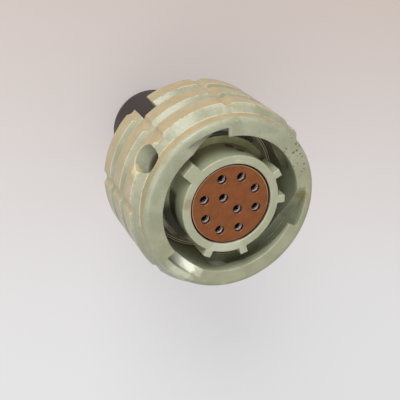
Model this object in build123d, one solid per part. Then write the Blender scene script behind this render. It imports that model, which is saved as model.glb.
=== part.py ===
"""Bayonet cable socket with ten contacts, standing on the end of its rear cap.

Origin: centre of the cap's flat end. +Z points out of the mating face.
Angles are counter-clockwise, seen from the mating face. All sizes are in mm.
"""
import os
from math import cos, radians, sin

from build123d import *

# Fits between pieces, as radial or axial clearances
RUNNING_FIT = 0.06
SEAT_FIT = 0.02
PUSH_FIT = 0.05
END_PLAY = 0.03
CUT_MARGIN = 1.0

# Rear cap
CAP_LENGTH = 17.3
CAP_WALL = 0.7
CAP_END_WALL = 1.6
CAP_END_ROUND = 2.6
CAP_INNER_CHAMFER = 1.0
CAP_RIM_CHAMFER = 0.2

# Shell: rear sleeve, body, shoulder and barrel
SLEEVE_INSET = 1.25
SLEEVE_WALL = 0.75
SLEEVE_LENGTH = 5.5
BODY_PROUD = 0.3
STEP_TO_RING = 6.2
SHOULDER_PROUD = 1.15
SHOULDER_LENGTH = 0.8
BARREL_R = 7.0
BARREL_WALL = 1.2
BARREL_LENGTH = 5.45
SHELL_CHAMFER = 0.15
LEDGE_BELOW_SHOULDER = 2.5

# Keys on the barrel
KEY_ABOVE_SEAL = 0.55
MASTER_KEY_WIDTH = 2.1
MASTER_KEY_HEIGHT = 1.55
KEY_WIDTH = 1.1
KEY_HEIGHT = 1.0
KEY_ROUND = 0.12
MASTER_ANGLE = 97.0
KEYS_CLOCKWISE = (109.5, 139.5, 211.0, 252.5)

# Rubber seal at the foot of the barrel
SEAL_HEIGHT = 0.5
SEAL_MARGIN = 0.1

# Nut retention: snap ring, wave spring and thrust washer
RING_THICKNESS = 0.8
RING_GROOVE_DEPTH = 0.6
RING_PROUD = 1.0
RING_GAP = 3.0
SPRING_HEIGHT = 1.4
SPRING_STRIP = 0.3
SPRING_WIDTH = 1.4
SPRING_WAVES = 3
SPRING_CREST_ANGLE = 170.0
POINTS_PER_WAVE = 8
WASHER_THICKNESS = 0.5

# Coupling nut, from its front face to the rear
COUPLING_GAP = 2.75
NUT_FLANGE_THICKNESS = 2.0
SKIRT_RELIEF = 0.75
FACE_AHEAD_OF_BARREL = 0.25
RIM_WALL = 2.55
RIM_LENGTH = 1.9
RIM_ROUND = 0.7
BORE_CHAMFER = 0.2
CONE_LENGTH = 1.3
RIB_HEIGHT = 1.05
RIB_LENGTH = 2.7
RIB_COUNT = 3
GROOVE_LENGTH = 1.75
GROOVE_DEPTH = 0.75
GROOVE_FLANK = 0.75
SKIRT_CHAMFER = 0.15

# Finger notches across the ribs
NOTCH_COUNT = 8
NOTCH_WIDTH = 1.7
NOTCH_DEPTH = 0.42
NOTCH_FIRST_ANGLE = 3.5

# Bayonet: entries with ramps, helical slots and windows
BAYONET_COUNT = 3
ENTRY_WALL_ANGLE = 54.2
ENTRY_SPAN = 31.5
WAY_OVERLAP_ANGLE = 1.0
SLOT_DEPTH = 1.3
SLOT_WIDTH = 2.7
SLOT_LIP = 0.55
WINDOW_ANGLE = 107.5
WINDOW_R = 1.9
WINDOW_DEPTH = 3.5

# Slot in the nut's rear skirt
SKIRT_SLOT_ANGLE = 86.2
SKIRT_SLOT_WIDTH = 2.4
SKIRT_SLOT_LENGTH = 4.3

# Insulators
INSULATOR_RECESS = 0.3
FACE_GAP = 0.15
FACE_GAP_DEPTH = 0.7
REAR_INSULATOR_LENGTH = 8.0

# Contacts: eight on the outer circle, two on the inner one at the same pitch
CIRCLE_INSET = 1.85
OUTER_FIRST_ANGLE = 27.0
OUTER_STEP = 42.0
OUTER_PER_SIDE = 4
HOLE_R = 0.66
HOOD_DEPTH = 0.4
HOOD_LENGTH = 6.2
HOOD_WALL = 0.16
TINE_R = 0.64
PIN_BORE_R = 0.5
PIN_BORE_DEPTH = 6.0
TINE_DEPTH = 0.95
TINE_SLOT_WIDTH = 0.2
TINE_SLOT_LENGTH = 4.6
TAIL_R = 0.65
TAIL_BEHIND_INSULATOR = 3.5
CUP_BORE_R = 0.47
CUP_DEPTH = 2.6
CUP_OPEN_LENGTH = 1.6

# Snap ring behind the rear insulator
INNER_RING_THICKNESS = 0.6
INNER_RING_GROOVE = 0.3
INNER_RING_WIDTH = 0.5
INNER_RING_GAP = 2.4

# Radii that follow from the sizes above
BARREL_BORE_R = BARREL_R - BARREL_WALL
MASTER_KEY_R = BARREL_R + MASTER_KEY_HEIGHT
KEY_R = BARREL_R + KEY_HEIGHT
SHOULDER_R = BARREL_R + SHOULDER_PROUD
BODY_R = BARREL_R + BODY_PROUD
SLEEVE_R = BARREL_R - SLEEVE_INSET
SLEEVE_BORE_R = SLEEVE_R - SLEEVE_WALL
CAP_R = SLEEVE_R + PUSH_FIT + CAP_WALL
NUT_BORE_R = BARREL_R + COUPLING_GAP
NUT_SKIRT_BORE_R = NUT_BORE_R + SKIRT_RELIEF
SLOT_R = NUT_BORE_R + SLOT_DEPTH
RIM_R = NUT_BORE_R + RIM_WALL
RIB_R = RIM_R + RIB_HEIGHT
OUTER_CIRCLE_R = BARREL_BORE_R - CIRCLE_INSET
INNER_CIRCLE_R = OUTER_CIRCLE_R * sin(radians(OUTER_STEP / 2))
RING_GROOVE_R = BODY_R - RING_GROOVE_DEPTH
HOOD_R = HOLE_R + HOOD_WALL
NOTCH_R = NOTCH_WIDTH**2 / (8 * NOTCH_DEPTH) + NOTCH_DEPTH / 2

# Levels along the axis, from the cap's end up to the nut's face
Z_STEP = CAP_LENGTH
Z_RING = Z_STEP + STEP_TO_RING
Z_FLANGE = Z_RING + RING_THICKNESS + END_PLAY
Z_WASHER = Z_FLANGE + NUT_FLANGE_THICKNESS + END_PLAY
Z_SPRING = Z_WASHER + WASHER_THICKNESS
Z_SHOULDER = Z_SPRING + SPRING_HEIGHT
Z_BARREL = Z_SHOULDER + SHOULDER_LENGTH
Z_BARREL_FACE = Z_BARREL + BARREL_LENGTH
Z_FACE = Z_BARREL_FACE + FACE_AHEAD_OF_BARREL
Z_LEDGE = Z_SHOULDER - LEDGE_BELOW_SHOULDER
Z_INSULATOR_FACE = Z_BARREL_FACE - INSULATOR_RECESS
Z_REAR_INSULATOR = Z_LEDGE - REAR_INSULATOR_LENGTH
Z_HOOD_TOP = Z_INSULATOR_FACE - HOOD_DEPTH
Z_HOOD_END = Z_HOOD_TOP - HOOD_LENGTH
Z_TINE_TOP = Z_INSULATOR_FACE - TINE_DEPTH
Z_TAIL = Z_REAR_INSULATOR - TAIL_BEHIND_INSULATOR
Z_NUT_REAR = Z_FACE - RIM_LENGTH - CONE_LENGTH - RIB_COUNT * RIB_LENGTH - (RIB_COUNT - 1) * GROOVE_LENGTH


def tube(outer_r, inner_r, bottom, top):
    """A plain ring or tube round the Z axis."""
    height = top - bottom
    ring = Cylinder(outer_r, height, align=(Align.CENTER, Align.CENTER, Align.MIN))
    hole = Cylinder(inner_r, height, align=(Align.CENTER, Align.CENTER, Align.MIN))
    return Pos(0, 0, bottom) * (ring - hole)


def rod(radius, bottom, top):
    """A plain cylinder on the Z axis."""
    return Pos(0, 0, bottom) * Cylinder(radius, top - bottom, align=(Align.CENTER, Align.CENTER, Align.MIN))


def turned(*points):
    """A solid turned from an outline of (radius, height) points."""
    outline = Polyline(*points, close=True)
    return revolve(Plane.XZ * make_face(outline), Axis.Z)


def edges_at(shape, radius, height, tolerance=0.02):
    """The round edges of a turned shape with this radius and height."""
    found = []
    for edge in shape.edges().filter_by(GeomType.CIRCLE):
        same_radius = abs(edge.radius - radius) < tolerance
        same_height = abs(edge.center().Z - height) < tolerance
        if same_radius and same_height:
            found.append(edge)
    return found


def polar(radius, angle):
    """A point on a circle round the axis, as (x, y)."""
    return radius * cos(radians(angle)), radius * sin(radians(angle))


def contact_places():
    """Centres of the ten contacts, clockwise from the master key, the two inner ones last."""
    places = []
    for side in (-1, 1):
        for step in range(OUTER_PER_SIDE):
            places.append(polar(OUTER_CIRCLE_R, MASTER_ANGLE + side * (OUTER_FIRST_ANGLE + step * OUTER_STEP)))
    places.append(polar(INNER_CIRCLE_R, MASTER_ANGLE))
    places.append(polar(INNER_CIRCLE_R, MASTER_ANGLE + 180))
    return places


def make_cap():
    """A moulded cap with a rounded end, open at the top."""
    outside = rod(CAP_R, 0, CAP_LENGTH)
    outside = fillet(edges_at(outside, CAP_R, 0), CAP_END_ROUND)
    outside = chamfer(edges_at(outside, CAP_R, CAP_LENGTH), CAP_RIM_CHAMFER)
    inner_r = CAP_R - CAP_WALL
    inside = rod(inner_r, CAP_END_WALL, CAP_LENGTH + CUT_MARGIN)
    inside = chamfer(edges_at(inside, inner_r, CAP_END_WALL), CAP_INNER_CHAMFER)
    return outside - inside


def make_key(angle, width, outer_r):
    """One key on the barrel, its front flush with the barrel's face."""
    root = BARREL_R - BARREL_WALL / 2
    bottom = Z_BARREL + SEAL_HEIGHT + KEY_ABOVE_SEAL
    height = Z_BARREL_FACE - bottom
    block = Box(outer_r - root, width, height, align=(Align.MIN, Align.CENTER, Align.MIN))
    block = Pos(root, 0, bottom) * block
    outer_edges = block.edges().filter_by(Axis.Z).group_by(Axis.X)[-1]
    block = fillet(outer_edges, KEY_ROUND)
    return Rot(0, 0, angle) * block


def make_shell():
    """Barrel with keys, shoulder, body with the snap-ring groove, and rear sleeve."""
    sleeve_end = Z_STEP - SLEEVE_LENGTH
    body = turned(
        (SLEEVE_BORE_R, sleeve_end),
        (SLEEVE_R - SHELL_CHAMFER, sleeve_end),
        (SLEEVE_R, sleeve_end + SHELL_CHAMFER),
        (SLEEVE_R, Z_STEP),
        (BODY_R - SHELL_CHAMFER, Z_STEP),
        (BODY_R, Z_STEP + SHELL_CHAMFER),
        (BODY_R, Z_RING - END_PLAY),
        (RING_GROOVE_R, Z_RING - END_PLAY),
        (RING_GROOVE_R, Z_RING + RING_THICKNESS),
        (BODY_R, Z_RING + RING_THICKNESS),
        (BODY_R, Z_SHOULDER),
        (SHOULDER_R, Z_SHOULDER),
        (SHOULDER_R, Z_BARREL - SHELL_CHAMFER),
        (SHOULDER_R - SHELL_CHAMFER, Z_BARREL),
        (BARREL_R, Z_BARREL),
        (BARREL_R, Z_BARREL_FACE - SHELL_CHAMFER),
        (BARREL_R - SHELL_CHAMFER, Z_BARREL_FACE),
        (BARREL_BORE_R + SHELL_CHAMFER, Z_BARREL_FACE),
        (BARREL_BORE_R, Z_BARREL_FACE - SHELL_CHAMFER),
        (BARREL_BORE_R, Z_LEDGE),
        (SLEEVE_BORE_R, Z_LEDGE),
    )
    groove_top = Z_REAR_INSULATOR
    groove = rod(SLEEVE_BORE_R + INNER_RING_GROOVE, groove_top - INNER_RING_THICKNESS - END_PLAY, groove_top)
    body -= groove
    body += make_key(MASTER_ANGLE, MASTER_KEY_WIDTH, MASTER_KEY_R)
    for clockwise in KEYS_CLOCKWISE:
        body += make_key(MASTER_ANGLE - clockwise, KEY_WIDTH, KEY_R)
    return body


def make_seal():
    """Rubber ring at the foot of the barrel."""
    return tube(SHOULDER_R - SEAL_MARGIN, BARREL_R + SEAT_FIT, Z_BARREL, Z_BARREL + SEAL_HEIGHT)


def make_split_ring(outer_r, inner_r, bottom, thickness, gap, gap_angle):
    """A flat ring with one gap."""
    ring = tube(outer_r, inner_r, bottom, bottom + thickness)
    height = thickness + 2 * CUT_MARGIN
    cut = Box(outer_r + CUT_MARGIN, gap, height, align=(Align.MIN, Align.CENTER, Align.MIN))
    return ring - Rot(0, 0, gap_angle) * Pos(0, 0, bottom - CUT_MARGIN) * cut


def wave_curve(radius, middle, swing):
    """A closed wavy curve round the axis."""
    steps = POINTS_PER_WAVE * SPRING_WAVES
    points = []
    for step in range(steps):
        angle = 360 * step / steps
        x, y = polar(radius, angle + SPRING_CREST_ANGLE)
        points.append((x, y, middle + swing * cos(radians(SPRING_WAVES * angle))))
    return Edge.make_spline(points, periodic=True)


def make_wave_spring():
    """A wavy ring of flat strip, which touches the shoulder at its crests."""
    inner_r = BODY_R + RUNNING_FIT
    outer_r = inner_r + SPRING_WIDTH
    swing = (SPRING_HEIGHT - SPRING_STRIP - SEAT_FIT) / 2
    low = Z_SPRING + (SPRING_HEIGHT - SPRING_STRIP) / 2
    high = low + SPRING_STRIP
    inner_low = wave_curve(inner_r, low, swing)
    outer_low = wave_curve(outer_r, low, swing)
    inner_high = wave_curve(inner_r, high, swing)
    outer_high = wave_curve(outer_r, high, swing)
    sides = [
        Face.make_surface_from_curves(inner_low, outer_low),
        Face.make_surface_from_curves(inner_high, outer_high),
        Face.make_surface_from_curves(inner_low, inner_high),
        Face.make_surface_from_curves(outer_low, outer_high),
    ]
    return Solid(Shell(sides))


def make_washer():
    """Flat ring between the wave spring and the nut's inner flange."""
    return tube(NUT_BORE_R - 2 * RUNNING_FIT, BODY_R + RUNNING_FIT, Z_WASHER, Z_SPRING)


def nut_outline():
    """The nut's turned section: rim, cone, ribs with grooves, skirt, flange and bore."""
    flange_top = Z_FLANGE + NUT_FLANGE_THICKNESS
    lines = [
        Line((NUT_BORE_R + BORE_CHAMFER, Z_FACE), (RIM_R - RIM_ROUND, Z_FACE)),
        RadiusArc((RIM_R - RIM_ROUND, Z_FACE), (RIM_R, Z_FACE - RIM_ROUND), RIM_ROUND),
        Line((RIM_R, Z_FACE - RIM_ROUND), (RIM_R, Z_FACE - RIM_LENGTH)),
    ]
    level = Z_FACE - RIM_LENGTH - CONE_LENGTH
    lines.append(Line((RIM_R, Z_FACE - RIM_LENGTH), (RIB_R, level)))
    for rib in range(RIB_COUNT - 1):
        rib_end = level - RIB_LENGTH
        groove_end = rib_end - GROOVE_LENGTH
        lines.append(
            Polyline(
                (RIB_R, level),
                (RIB_R, rib_end),
                (RIB_R - GROOVE_DEPTH, rib_end - GROOVE_FLANK),
                (RIB_R - GROOVE_DEPTH, groove_end + GROOVE_FLANK),
                (RIB_R, groove_end),
            )
        )
        level = groove_end
    lines.append(Line((RIB_R, level), (RIB_R, Z_NUT_REAR + SKIRT_CHAMFER)))
    lines.append(Line((RIB_R, Z_NUT_REAR + SKIRT_CHAMFER), (RIB_R - SKIRT_CHAMFER, Z_NUT_REAR)))
    lines.append(
        Polyline(
            (RIB_R - SKIRT_CHAMFER, Z_NUT_REAR),
            (NUT_SKIRT_BORE_R, Z_NUT_REAR),
            (NUT_SKIRT_BORE_R, Z_FLANGE),
            (BODY_R + RUNNING_FIT, Z_FLANGE),
            (BODY_R + RUNNING_FIT, flange_top),
            (NUT_BORE_R, flange_top),
            (NUT_BORE_R, Z_FACE - BORE_CHAMFER),
            (NUT_BORE_R + BORE_CHAMFER, Z_FACE),
        )
    )
    return make_face(Curve() + lines)


def helical_cutter(low_angle, high_angle, low_floor, high_floor, height):
    """A bar that climbs counter-clockwise round the nut's bore, its floor between two levels."""
    inner_r = NUT_BORE_R - CUT_MARGIN / 2
    span = high_angle - low_angle
    rise = high_floor - low_floor
    middle_r = (inner_r + SLOT_R) / 2
    path = Helix(pitch=rise * 360 / span, height=rise, radius=middle_r)
    section = Plane.XZ * Pos(middle_r, height / 2) * Rectangle(SLOT_R - inner_r, height)
    bar = sweep(section, path=path, is_frenet=True)
    return Rot(0, 0, low_angle) * Pos(0, 0, low_floor) * bar


def make_bayonet_cut():
    """One bayonet way: an entry with its ramp, the helical slot behind it, and the window."""
    entry_floor = Z_FACE - SLOT_LIP - SLOT_WIDTH
    slot_end_angle = WINDOW_ANGLE - 360 / BAYONET_COUNT
    window_level = Z_FACE - WINDOW_DEPTH
    entry = helical_cutter(
        ENTRY_WALL_ANGLE,
        ENTRY_WALL_ANGLE + ENTRY_SPAN,
        entry_floor,
        Z_FACE,
        SLOT_LIP + SLOT_WIDTH + CUT_MARGIN,
    )
    slot = helical_cutter(
        slot_end_angle,
        ENTRY_WALL_ANGLE + WAY_OVERLAP_ANGLE,
        window_level - SLOT_WIDTH / 2,
        entry_floor,
        SLOT_WIDTH,
    )
    reach = RIB_R - NUT_BORE_R + 2 * CUT_MARGIN
    start = NUT_BORE_R - CUT_MARGIN
    along_x = Rot(0, 90, 0)
    hole = along_x * Cylinder(WINDOW_R, reach, align=(Align.CENTER, Align.CENTER, Align.MIN))
    window = Rot(0, 0, slot_end_angle) * Pos(start, 0, window_level) * hole
    return [entry, slot, window]


def make_nut():
    """Coupling nut with its ribs, notches, bayonet ways, windows and skirt slot."""
    nut = revolve(Plane.XZ * nut_outline(), Axis.Z)
    way = make_bayonet_cut()
    cuts = []
    for turn in range(BAYONET_COUNT):
        for piece in way:
            cuts.append(Rot(0, 0, turn * 360 / BAYONET_COUNT) * piece)
    for notch in range(NOTCH_COUNT):
        x, y = polar(RIB_R - NOTCH_DEPTH + NOTCH_R, NOTCH_FIRST_ANGLE + notch * 360 / NOTCH_COUNT)
        cuts.append(Pos(x, y, 0) * rod(NOTCH_R, Z_NUT_REAR - CUT_MARGIN, Z_FACE - RIM_LENGTH + CUT_MARGIN / 2))
    slot_reach = RIB_R - NUT_SKIRT_BORE_R + 2 * CUT_MARGIN
    skirt_slot = Box(
        slot_reach,
        SKIRT_SLOT_WIDTH,
        SKIRT_SLOT_LENGTH + CUT_MARGIN,
        align=(Align.MIN, Align.CENTER, Align.MAX),
    )
    slot_top = Z_NUT_REAR + SKIRT_SLOT_LENGTH
    cuts.append(Rot(0, 0, SKIRT_SLOT_ANGLE) * Pos(NUT_SKIRT_BORE_R - CUT_MARGIN, 0, slot_top) * skirt_slot)
    for cut in cuts:
        nut -= cut
    return nut


def make_front_insulator():
    """Brown moulding with ten stepped holes."""
    seat_r = BARREL_BORE_R - SEAT_FIT
    face_r = BARREL_BORE_R - FACE_GAP
    block = turned(
        (0, Z_LEDGE),
        (seat_r, Z_LEDGE),
        (seat_r, Z_INSULATOR_FACE - FACE_GAP_DEPTH),
        (face_r, Z_INSULATOR_FACE - FACE_GAP_DEPTH),
        (face_r, Z_INSULATOR_FACE),
        (0, Z_INSULATOR_FACE),
    )
    hole = turned(
        (0, Z_LEDGE - CUT_MARGIN),
        (HOOD_R + SEAT_FIT, Z_LEDGE - CUT_MARGIN),
        (HOOD_R + SEAT_FIT, Z_HOOD_TOP),
        (HOLE_R, Z_HOOD_TOP),
        (HOLE_R, Z_INSULATOR_FACE + CUT_MARGIN),
        (0, Z_INSULATOR_FACE + CUT_MARGIN),
    )
    for x, y in contact_places():
        block -= Pos(x, y, 0) * hole
    return block


def make_rear_insulator():
    """Second moulding, whose narrower holes stop the contact collars."""
    block = rod(SLEEVE_BORE_R - SEAT_FIT, Z_REAR_INSULATOR, Z_LEDGE)
    hole = rod(TAIL_R + SEAT_FIT, Z_REAR_INSULATOR - CUT_MARGIN, Z_LEDGE + CUT_MARGIN)
    for x, y in contact_places():
        block -= Pos(x, y, 0) * hole
    return block


def make_contact():
    """Socket contact on the Z axis: slotted tines, collar, tail and solder cup."""
    bore_end = Z_TINE_TOP - PIN_BORE_DEPTH
    body = turned(
        (0, Z_TAIL),
        (TAIL_R, Z_TAIL),
        (TAIL_R, Z_LEDGE),
        (HOOD_R, Z_LEDGE),
        (HOOD_R, Z_HOOD_END),
        (TINE_R, Z_HOOD_END),
        (TINE_R, Z_TINE_TOP),
        (PIN_BORE_R, Z_TINE_TOP),
        (PIN_BORE_R, bore_end),
        (0, bore_end),
    )
    tine_slot = Box(
        2 * TINE_R + CUT_MARGIN,
        TINE_SLOT_WIDTH,
        TINE_SLOT_LENGTH + CUT_MARGIN,
        align=(Align.CENTER, Align.CENTER, Align.MIN),
    )
    body -= Pos(0, 0, Z_TINE_TOP - TINE_SLOT_LENGTH) * tine_slot
    body -= rod(CUP_BORE_R, Z_TAIL - CUT_MARGIN, Z_TAIL + CUP_DEPTH)
    scoop = Box(
        2 * TAIL_R,
        2 * TAIL_R,
        CUP_OPEN_LENGTH + CUT_MARGIN,
        align=(Align.MIN, Align.CENTER, Align.MAX),
    )
    body -= Pos(0, 0, Z_TAIL + CUP_OPEN_LENGTH) * scoop
    return body


def make_hood():
    """Thin hood round the tines, which stands on the contact's collar."""
    return tube(HOOD_R, HOLE_R, Z_HOOD_END, Z_HOOD_TOP)


def build_parts():
    """Every piece of the socket, by node name."""
    parts = {
        "rear_cap": make_cap(),
        "shell": make_shell(),
        "shell_seal": make_seal(),
        "coupling_nut": make_nut(),
        "thrust_washer": make_washer(),
        "wave_spring": make_wave_spring(),
        "front_insulator": make_front_insulator(),
        "rear_insulator": make_rear_insulator(),
    }
    parts["nut_snap_ring"] = make_split_ring(
        BODY_R + RING_PROUD,
        RING_GROOVE_R + SEAT_FIT,
        Z_RING,
        RING_THICKNESS,
        RING_GAP,
        SKIRT_SLOT_ANGLE,
    )
    inner_ring_r = SLEEVE_BORE_R + INNER_RING_GROOVE - SEAT_FIT
    parts["insulator_snap_ring"] = make_split_ring(
        inner_ring_r,
        inner_ring_r - INNER_RING_WIDTH,
        Z_REAR_INSULATOR - INNER_RING_THICKNESS,
        INNER_RING_THICKNESS,
        INNER_RING_GAP,
        SKIRT_SLOT_ANGLE,
    )
    contact = make_contact()
    hood = make_hood()
    for number, (x, y) in enumerate(contact_places(), start=1):
        parts[f"contact_{number}"] = Pos(x, y, 0) * contact
        parts[f"contact_hood_{number}"] = Pos(x, y, 0) * hood
    return parts


os.makedirs("parts", exist_ok=True)
for name, solid in build_parts().items():
    export_step(solid, f"parts/{name}.step")
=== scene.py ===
# %% [markdown]
# A bayonet cable socket: a ribbed coupling nut in aged green enamel, a keyed barrel with a brown
# insulator and ten contacts, and a dark moulded cap on which the socket stands.
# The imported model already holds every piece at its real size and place. This file dresses it: the
# painted pieces are modelled again with rounded paint edges, and every piece gets a finish.

# %% Load the frame
from math import cos, pi, radians, sin, tan

import bmesh
import bpy
from mathutils import Matrix, Vector


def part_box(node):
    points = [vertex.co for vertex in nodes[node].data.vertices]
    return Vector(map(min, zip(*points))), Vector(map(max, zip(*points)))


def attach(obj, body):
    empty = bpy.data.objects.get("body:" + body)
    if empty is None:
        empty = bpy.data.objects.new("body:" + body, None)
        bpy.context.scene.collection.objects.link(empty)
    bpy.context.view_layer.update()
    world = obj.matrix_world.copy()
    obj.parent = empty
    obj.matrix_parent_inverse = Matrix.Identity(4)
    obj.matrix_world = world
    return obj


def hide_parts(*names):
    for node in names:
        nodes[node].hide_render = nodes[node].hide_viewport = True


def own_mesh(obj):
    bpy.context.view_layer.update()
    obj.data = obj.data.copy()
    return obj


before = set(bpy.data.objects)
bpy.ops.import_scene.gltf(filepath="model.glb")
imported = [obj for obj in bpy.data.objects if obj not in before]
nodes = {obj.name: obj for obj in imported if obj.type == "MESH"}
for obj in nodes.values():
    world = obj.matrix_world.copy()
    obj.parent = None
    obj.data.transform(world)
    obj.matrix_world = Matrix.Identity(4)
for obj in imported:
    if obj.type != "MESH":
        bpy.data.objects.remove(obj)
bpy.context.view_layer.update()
MM = 0.001

# %% [markdown]
# The levels that the pieces share are read from the frame, so that the dressed pieces stay where
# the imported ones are: the boxes of the nut, shell, insulator and cap give them.

# %% Levels and radii from the frame
nut_low, nut_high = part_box("coupling_nut")
shell_low, shell_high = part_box("shell")
block_low, block_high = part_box("front_insulator")
cap_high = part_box("rear_cap")[1]
washer_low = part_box("thrust_washer")[0]
ring_low, ring_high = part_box("nut_snap_ring")
seal_low, seal_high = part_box("shell_seal")
FACE = nut_high.z
RIB_R = (nut_high.x - nut_low.x) / 2
CAP_R = cap_high.x
print(f"nut face at {FACE / MM:.2f} mm, ribs {2 * RIB_R / MM:.2f} mm across")

# %% [markdown]
# The photograph looks down on the mating face from about 57 degrees, 110 mm away, and the picture
# is rolled, because the real socket lies on its side there. Three directions say where the camera
# is: back from the face, then right and up turned by the roll.

# %% Camera
CAMERA_ELEVATION = radians(56.93)
CAMERA_ROLL = radians(135.9)
CAMERA_DISTANCE = 110 * MM
CAMERA_AIM = Vector((-2.57, 2.97, -1.93)) * MM
CAMERA_LENS = 74.54

back = Vector((0, cos(CAMERA_ELEVATION), sin(CAMERA_ELEVATION)))
level_right = Vector((-1, 0, 0))
level_up = back.cross(level_right)
right = level_right * cos(CAMERA_ROLL) + level_up * sin(CAMERA_ROLL)
up = back.cross(right)
camera = bpy.data.objects.new("camera", bpy.data.cameras.new("camera"))
camera.data.lens = CAMERA_LENS
camera.data.clip_start = 1 * MM
place = Matrix((right, up, back)).transposed().to_4x4()
place.translation = Vector((0, 0, FACE)) + CAMERA_AIM + back * CAMERA_DISTANCE
camera.matrix_world = place
bpy.context.scene.collection.objects.link(camera)
bpy.context.scene.camera = camera
bpy.context.scene.view_settings.view_transform = "Standard"
print("camera at", [round(value / MM, 1) for value in place.translation])

# %% [markdown]
# Node trees come up all through this file, so one helper adds a node, sets its properties, and
# either fills or links its inputs. A colour is written as it looks on screen, from 0 to 255, and
# turned into the linear value that a shader wants. The last helper makes an object of a new mesh.

# %% Helpers for node trees, colours and pieces
def add(tree, kind, sockets=None, **settings):
    """A new node, with its inputs filled by values or linked from other sockets."""
    node = tree.nodes.new(kind)
    for name, value in settings.items():
        setattr(node, name, value)
    for key, value in (sockets or {}).items():
        if isinstance(value, bpy.types.NodeSocket):
            tree.links.new(value, node.inputs[key])
        else:
            node.inputs[key].default_value = value
    return node


def maths(tree, operation, first, second=0.0):
    """The result of one Math node."""
    return add(tree, "ShaderNodeMath", {0: first, 1: second}, operation=operation).outputs[0]


def ramp(tree, value, low, high):
    """0 where the value is at low, 1 where it is at high, and smooth between them."""
    sockets = {"Value": value, "From Min": low, "From Max": high}
    return add(tree, "ShaderNodeMapRange", sockets, interpolation_type="SMOOTHSTEP").outputs[0]


def blend_colours(tree, mask, first, second):
    """The first colour where the mask is 0, the second where it is 1."""
    return add(tree, "ShaderNodeMix", {0: mask, 6: first, 7: second}, data_type="RGBA").outputs[2]


def screen_colour(red, green, blue):
    """A colour as it looks on screen, as the linear RGBA that shaders use."""
    linear = []
    for value in (red, green, blue):
        share = value / 255
        linear.append(share / 12.92 if share <= 0.04045 else ((share + 0.055) / 1.055) ** 2.4)
    return (*linear, 1.0)


def new_group(kind, name, inputs, outputs):
    """A node group with named inputs and outputs, and its two end nodes."""
    tree = bpy.data.node_groups.new(name, kind)
    for title, socket, value in inputs:
        item = tree.interface.new_socket(title, in_out="INPUT", socket_type=socket)
        if value is not None:
            item.default_value = value
    for title, socket in outputs:
        tree.interface.new_socket(title, in_out="OUTPUT", socket_type=socket)
    return tree, tree.nodes.new("NodeGroupInput").outputs, tree.nodes.new("NodeGroupOutput").inputs


def new_piece(name, shape):
    """A new object in the scene, from a bmesh that is used up."""
    mesh = bpy.data.meshes.new(name)
    shape.to_mesh(mesh)
    shape.free()
    piece = bpy.data.objects.new(name, mesh)
    bpy.context.scene.collection.objects.link(piece)
    return piece


print("helpers ready")

# %% [markdown]
# The photograph was taken on a pale table whose colour runs from warm grey at the top of the picture
# to nearly white at the bottom. The floor here is one large disc with that run of colour in its
# paint, along the direction that is up in the picture.

# %% Floor
FLOOR_R = 1.2
FLOOR_STEPS = 96
FLOOR_FADE = (-60 * MM, 75 * MM)
SHADOW_SHARE = 0.59
FLOOR_GLOW = 0.48
sheet = bmesh.new()
bmesh.ops.create_circle(sheet, cap_ends=True, radius=FLOOR_R, segments=FLOOR_STEPS)
floor = new_piece("floor", sheet)

floor_paint = bpy.data.materials.new("floor_paint")
floor_paint.use_nodes = True
tree = floor_paint.node_tree
shader = tree.nodes["Principled BSDF"]
shader.inputs["Roughness"].default_value = 0.7
where = add(tree, "ShaderNodeTexCoord").outputs["Object"]
along = Vector((up.x, up.y, 0)).normalized()
run = add(tree, "ShaderNodeVectorMath", {0: where, 1: along}, operation="DOT_PRODUCT").outputs["Value"]
fade = ramp(tree, run, *FLOOR_FADE)
floor_colour = blend_colours(tree, fade, screen_colour(229, 229, 231), screen_colour(192, 170, 158))
path = add(tree, "ShaderNodeLightPath").outputs
seen = path["Is Camera Ray"]
for ray in ("Is Glossy Ray", "Is Transmission Ray"):
    seen = maths(tree, "MAXIMUM", seen, path[ray])
shaded = blend_colours(tree, SHADOW_SHARE, (0, 0, 0, 1), floor_colour)
tree.links.new(blend_colours(tree, seen, floor_colour, shaded), shader.inputs["Base Color"])
tree.links.new(floor_colour, shader.inputs["Emission Color"])
tree.links.new(maths(tree, "MULTIPLY", seen, FLOOR_GLOW), shader.inputs["Emission Strength"])
floor.data.materials.append(floor_paint)
print("floor", 2 * FLOOR_R, "m across")

# %% [markdown]
# One large soft lamp stands where the window was: low, and on the side that the upper ribs face. A
# weaker one above the face opens the shadows, and the world gives an even pale light all round, at a
# level that shows a colour about as it is written.

# %% Lamps and world
LAMPS = {
    "window": {"towards": (0.33, 0.93, 0.52), "distance": 0.5, "size": 0.3, "power": 1.75},
    "ceiling": {"towards": (-0.35, 0.25, 0.9), "distance": 0.5, "size": 0.4, "power": 0.75},
}
for name, lamp in LAMPS.items():
    light = bpy.data.lights.new(name, "AREA")
    light.shape = "DISK"
    light.size = lamp["size"]
    light.energy = lamp["power"]
    towards = Vector(lamp["towards"]).normalized()
    holder = bpy.data.objects.new(name, light)
    holder.matrix_world = towards.to_track_quat("Z", "Y").to_matrix().to_4x4()
    holder.location = Vector((0, 0, FACE)) + towards * lamp["distance"]
    bpy.context.scene.collection.objects.link(holder)

WORLD_STRENGTH = 0.42
world = bpy.data.worlds.new("pale_room")
world.use_nodes = True
tree = world.node_tree
backdrop = tree.nodes["Background"].inputs
seen = add(tree, "ShaderNodeLightPath").outputs["Is Camera Ray"]
room_colour = blend_colours(tree, seen, screen_colour(250, 248, 245), screen_colour(216, 209, 206))
tree.links.new(room_colour, backdrop["Color"])
tree.links.new(maths(tree, "MAXIMUM", seen, WORLD_STRENGTH), backdrop["Strength"])
bpy.context.scene.world = world
print("lamps", list(LAMPS))

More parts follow.
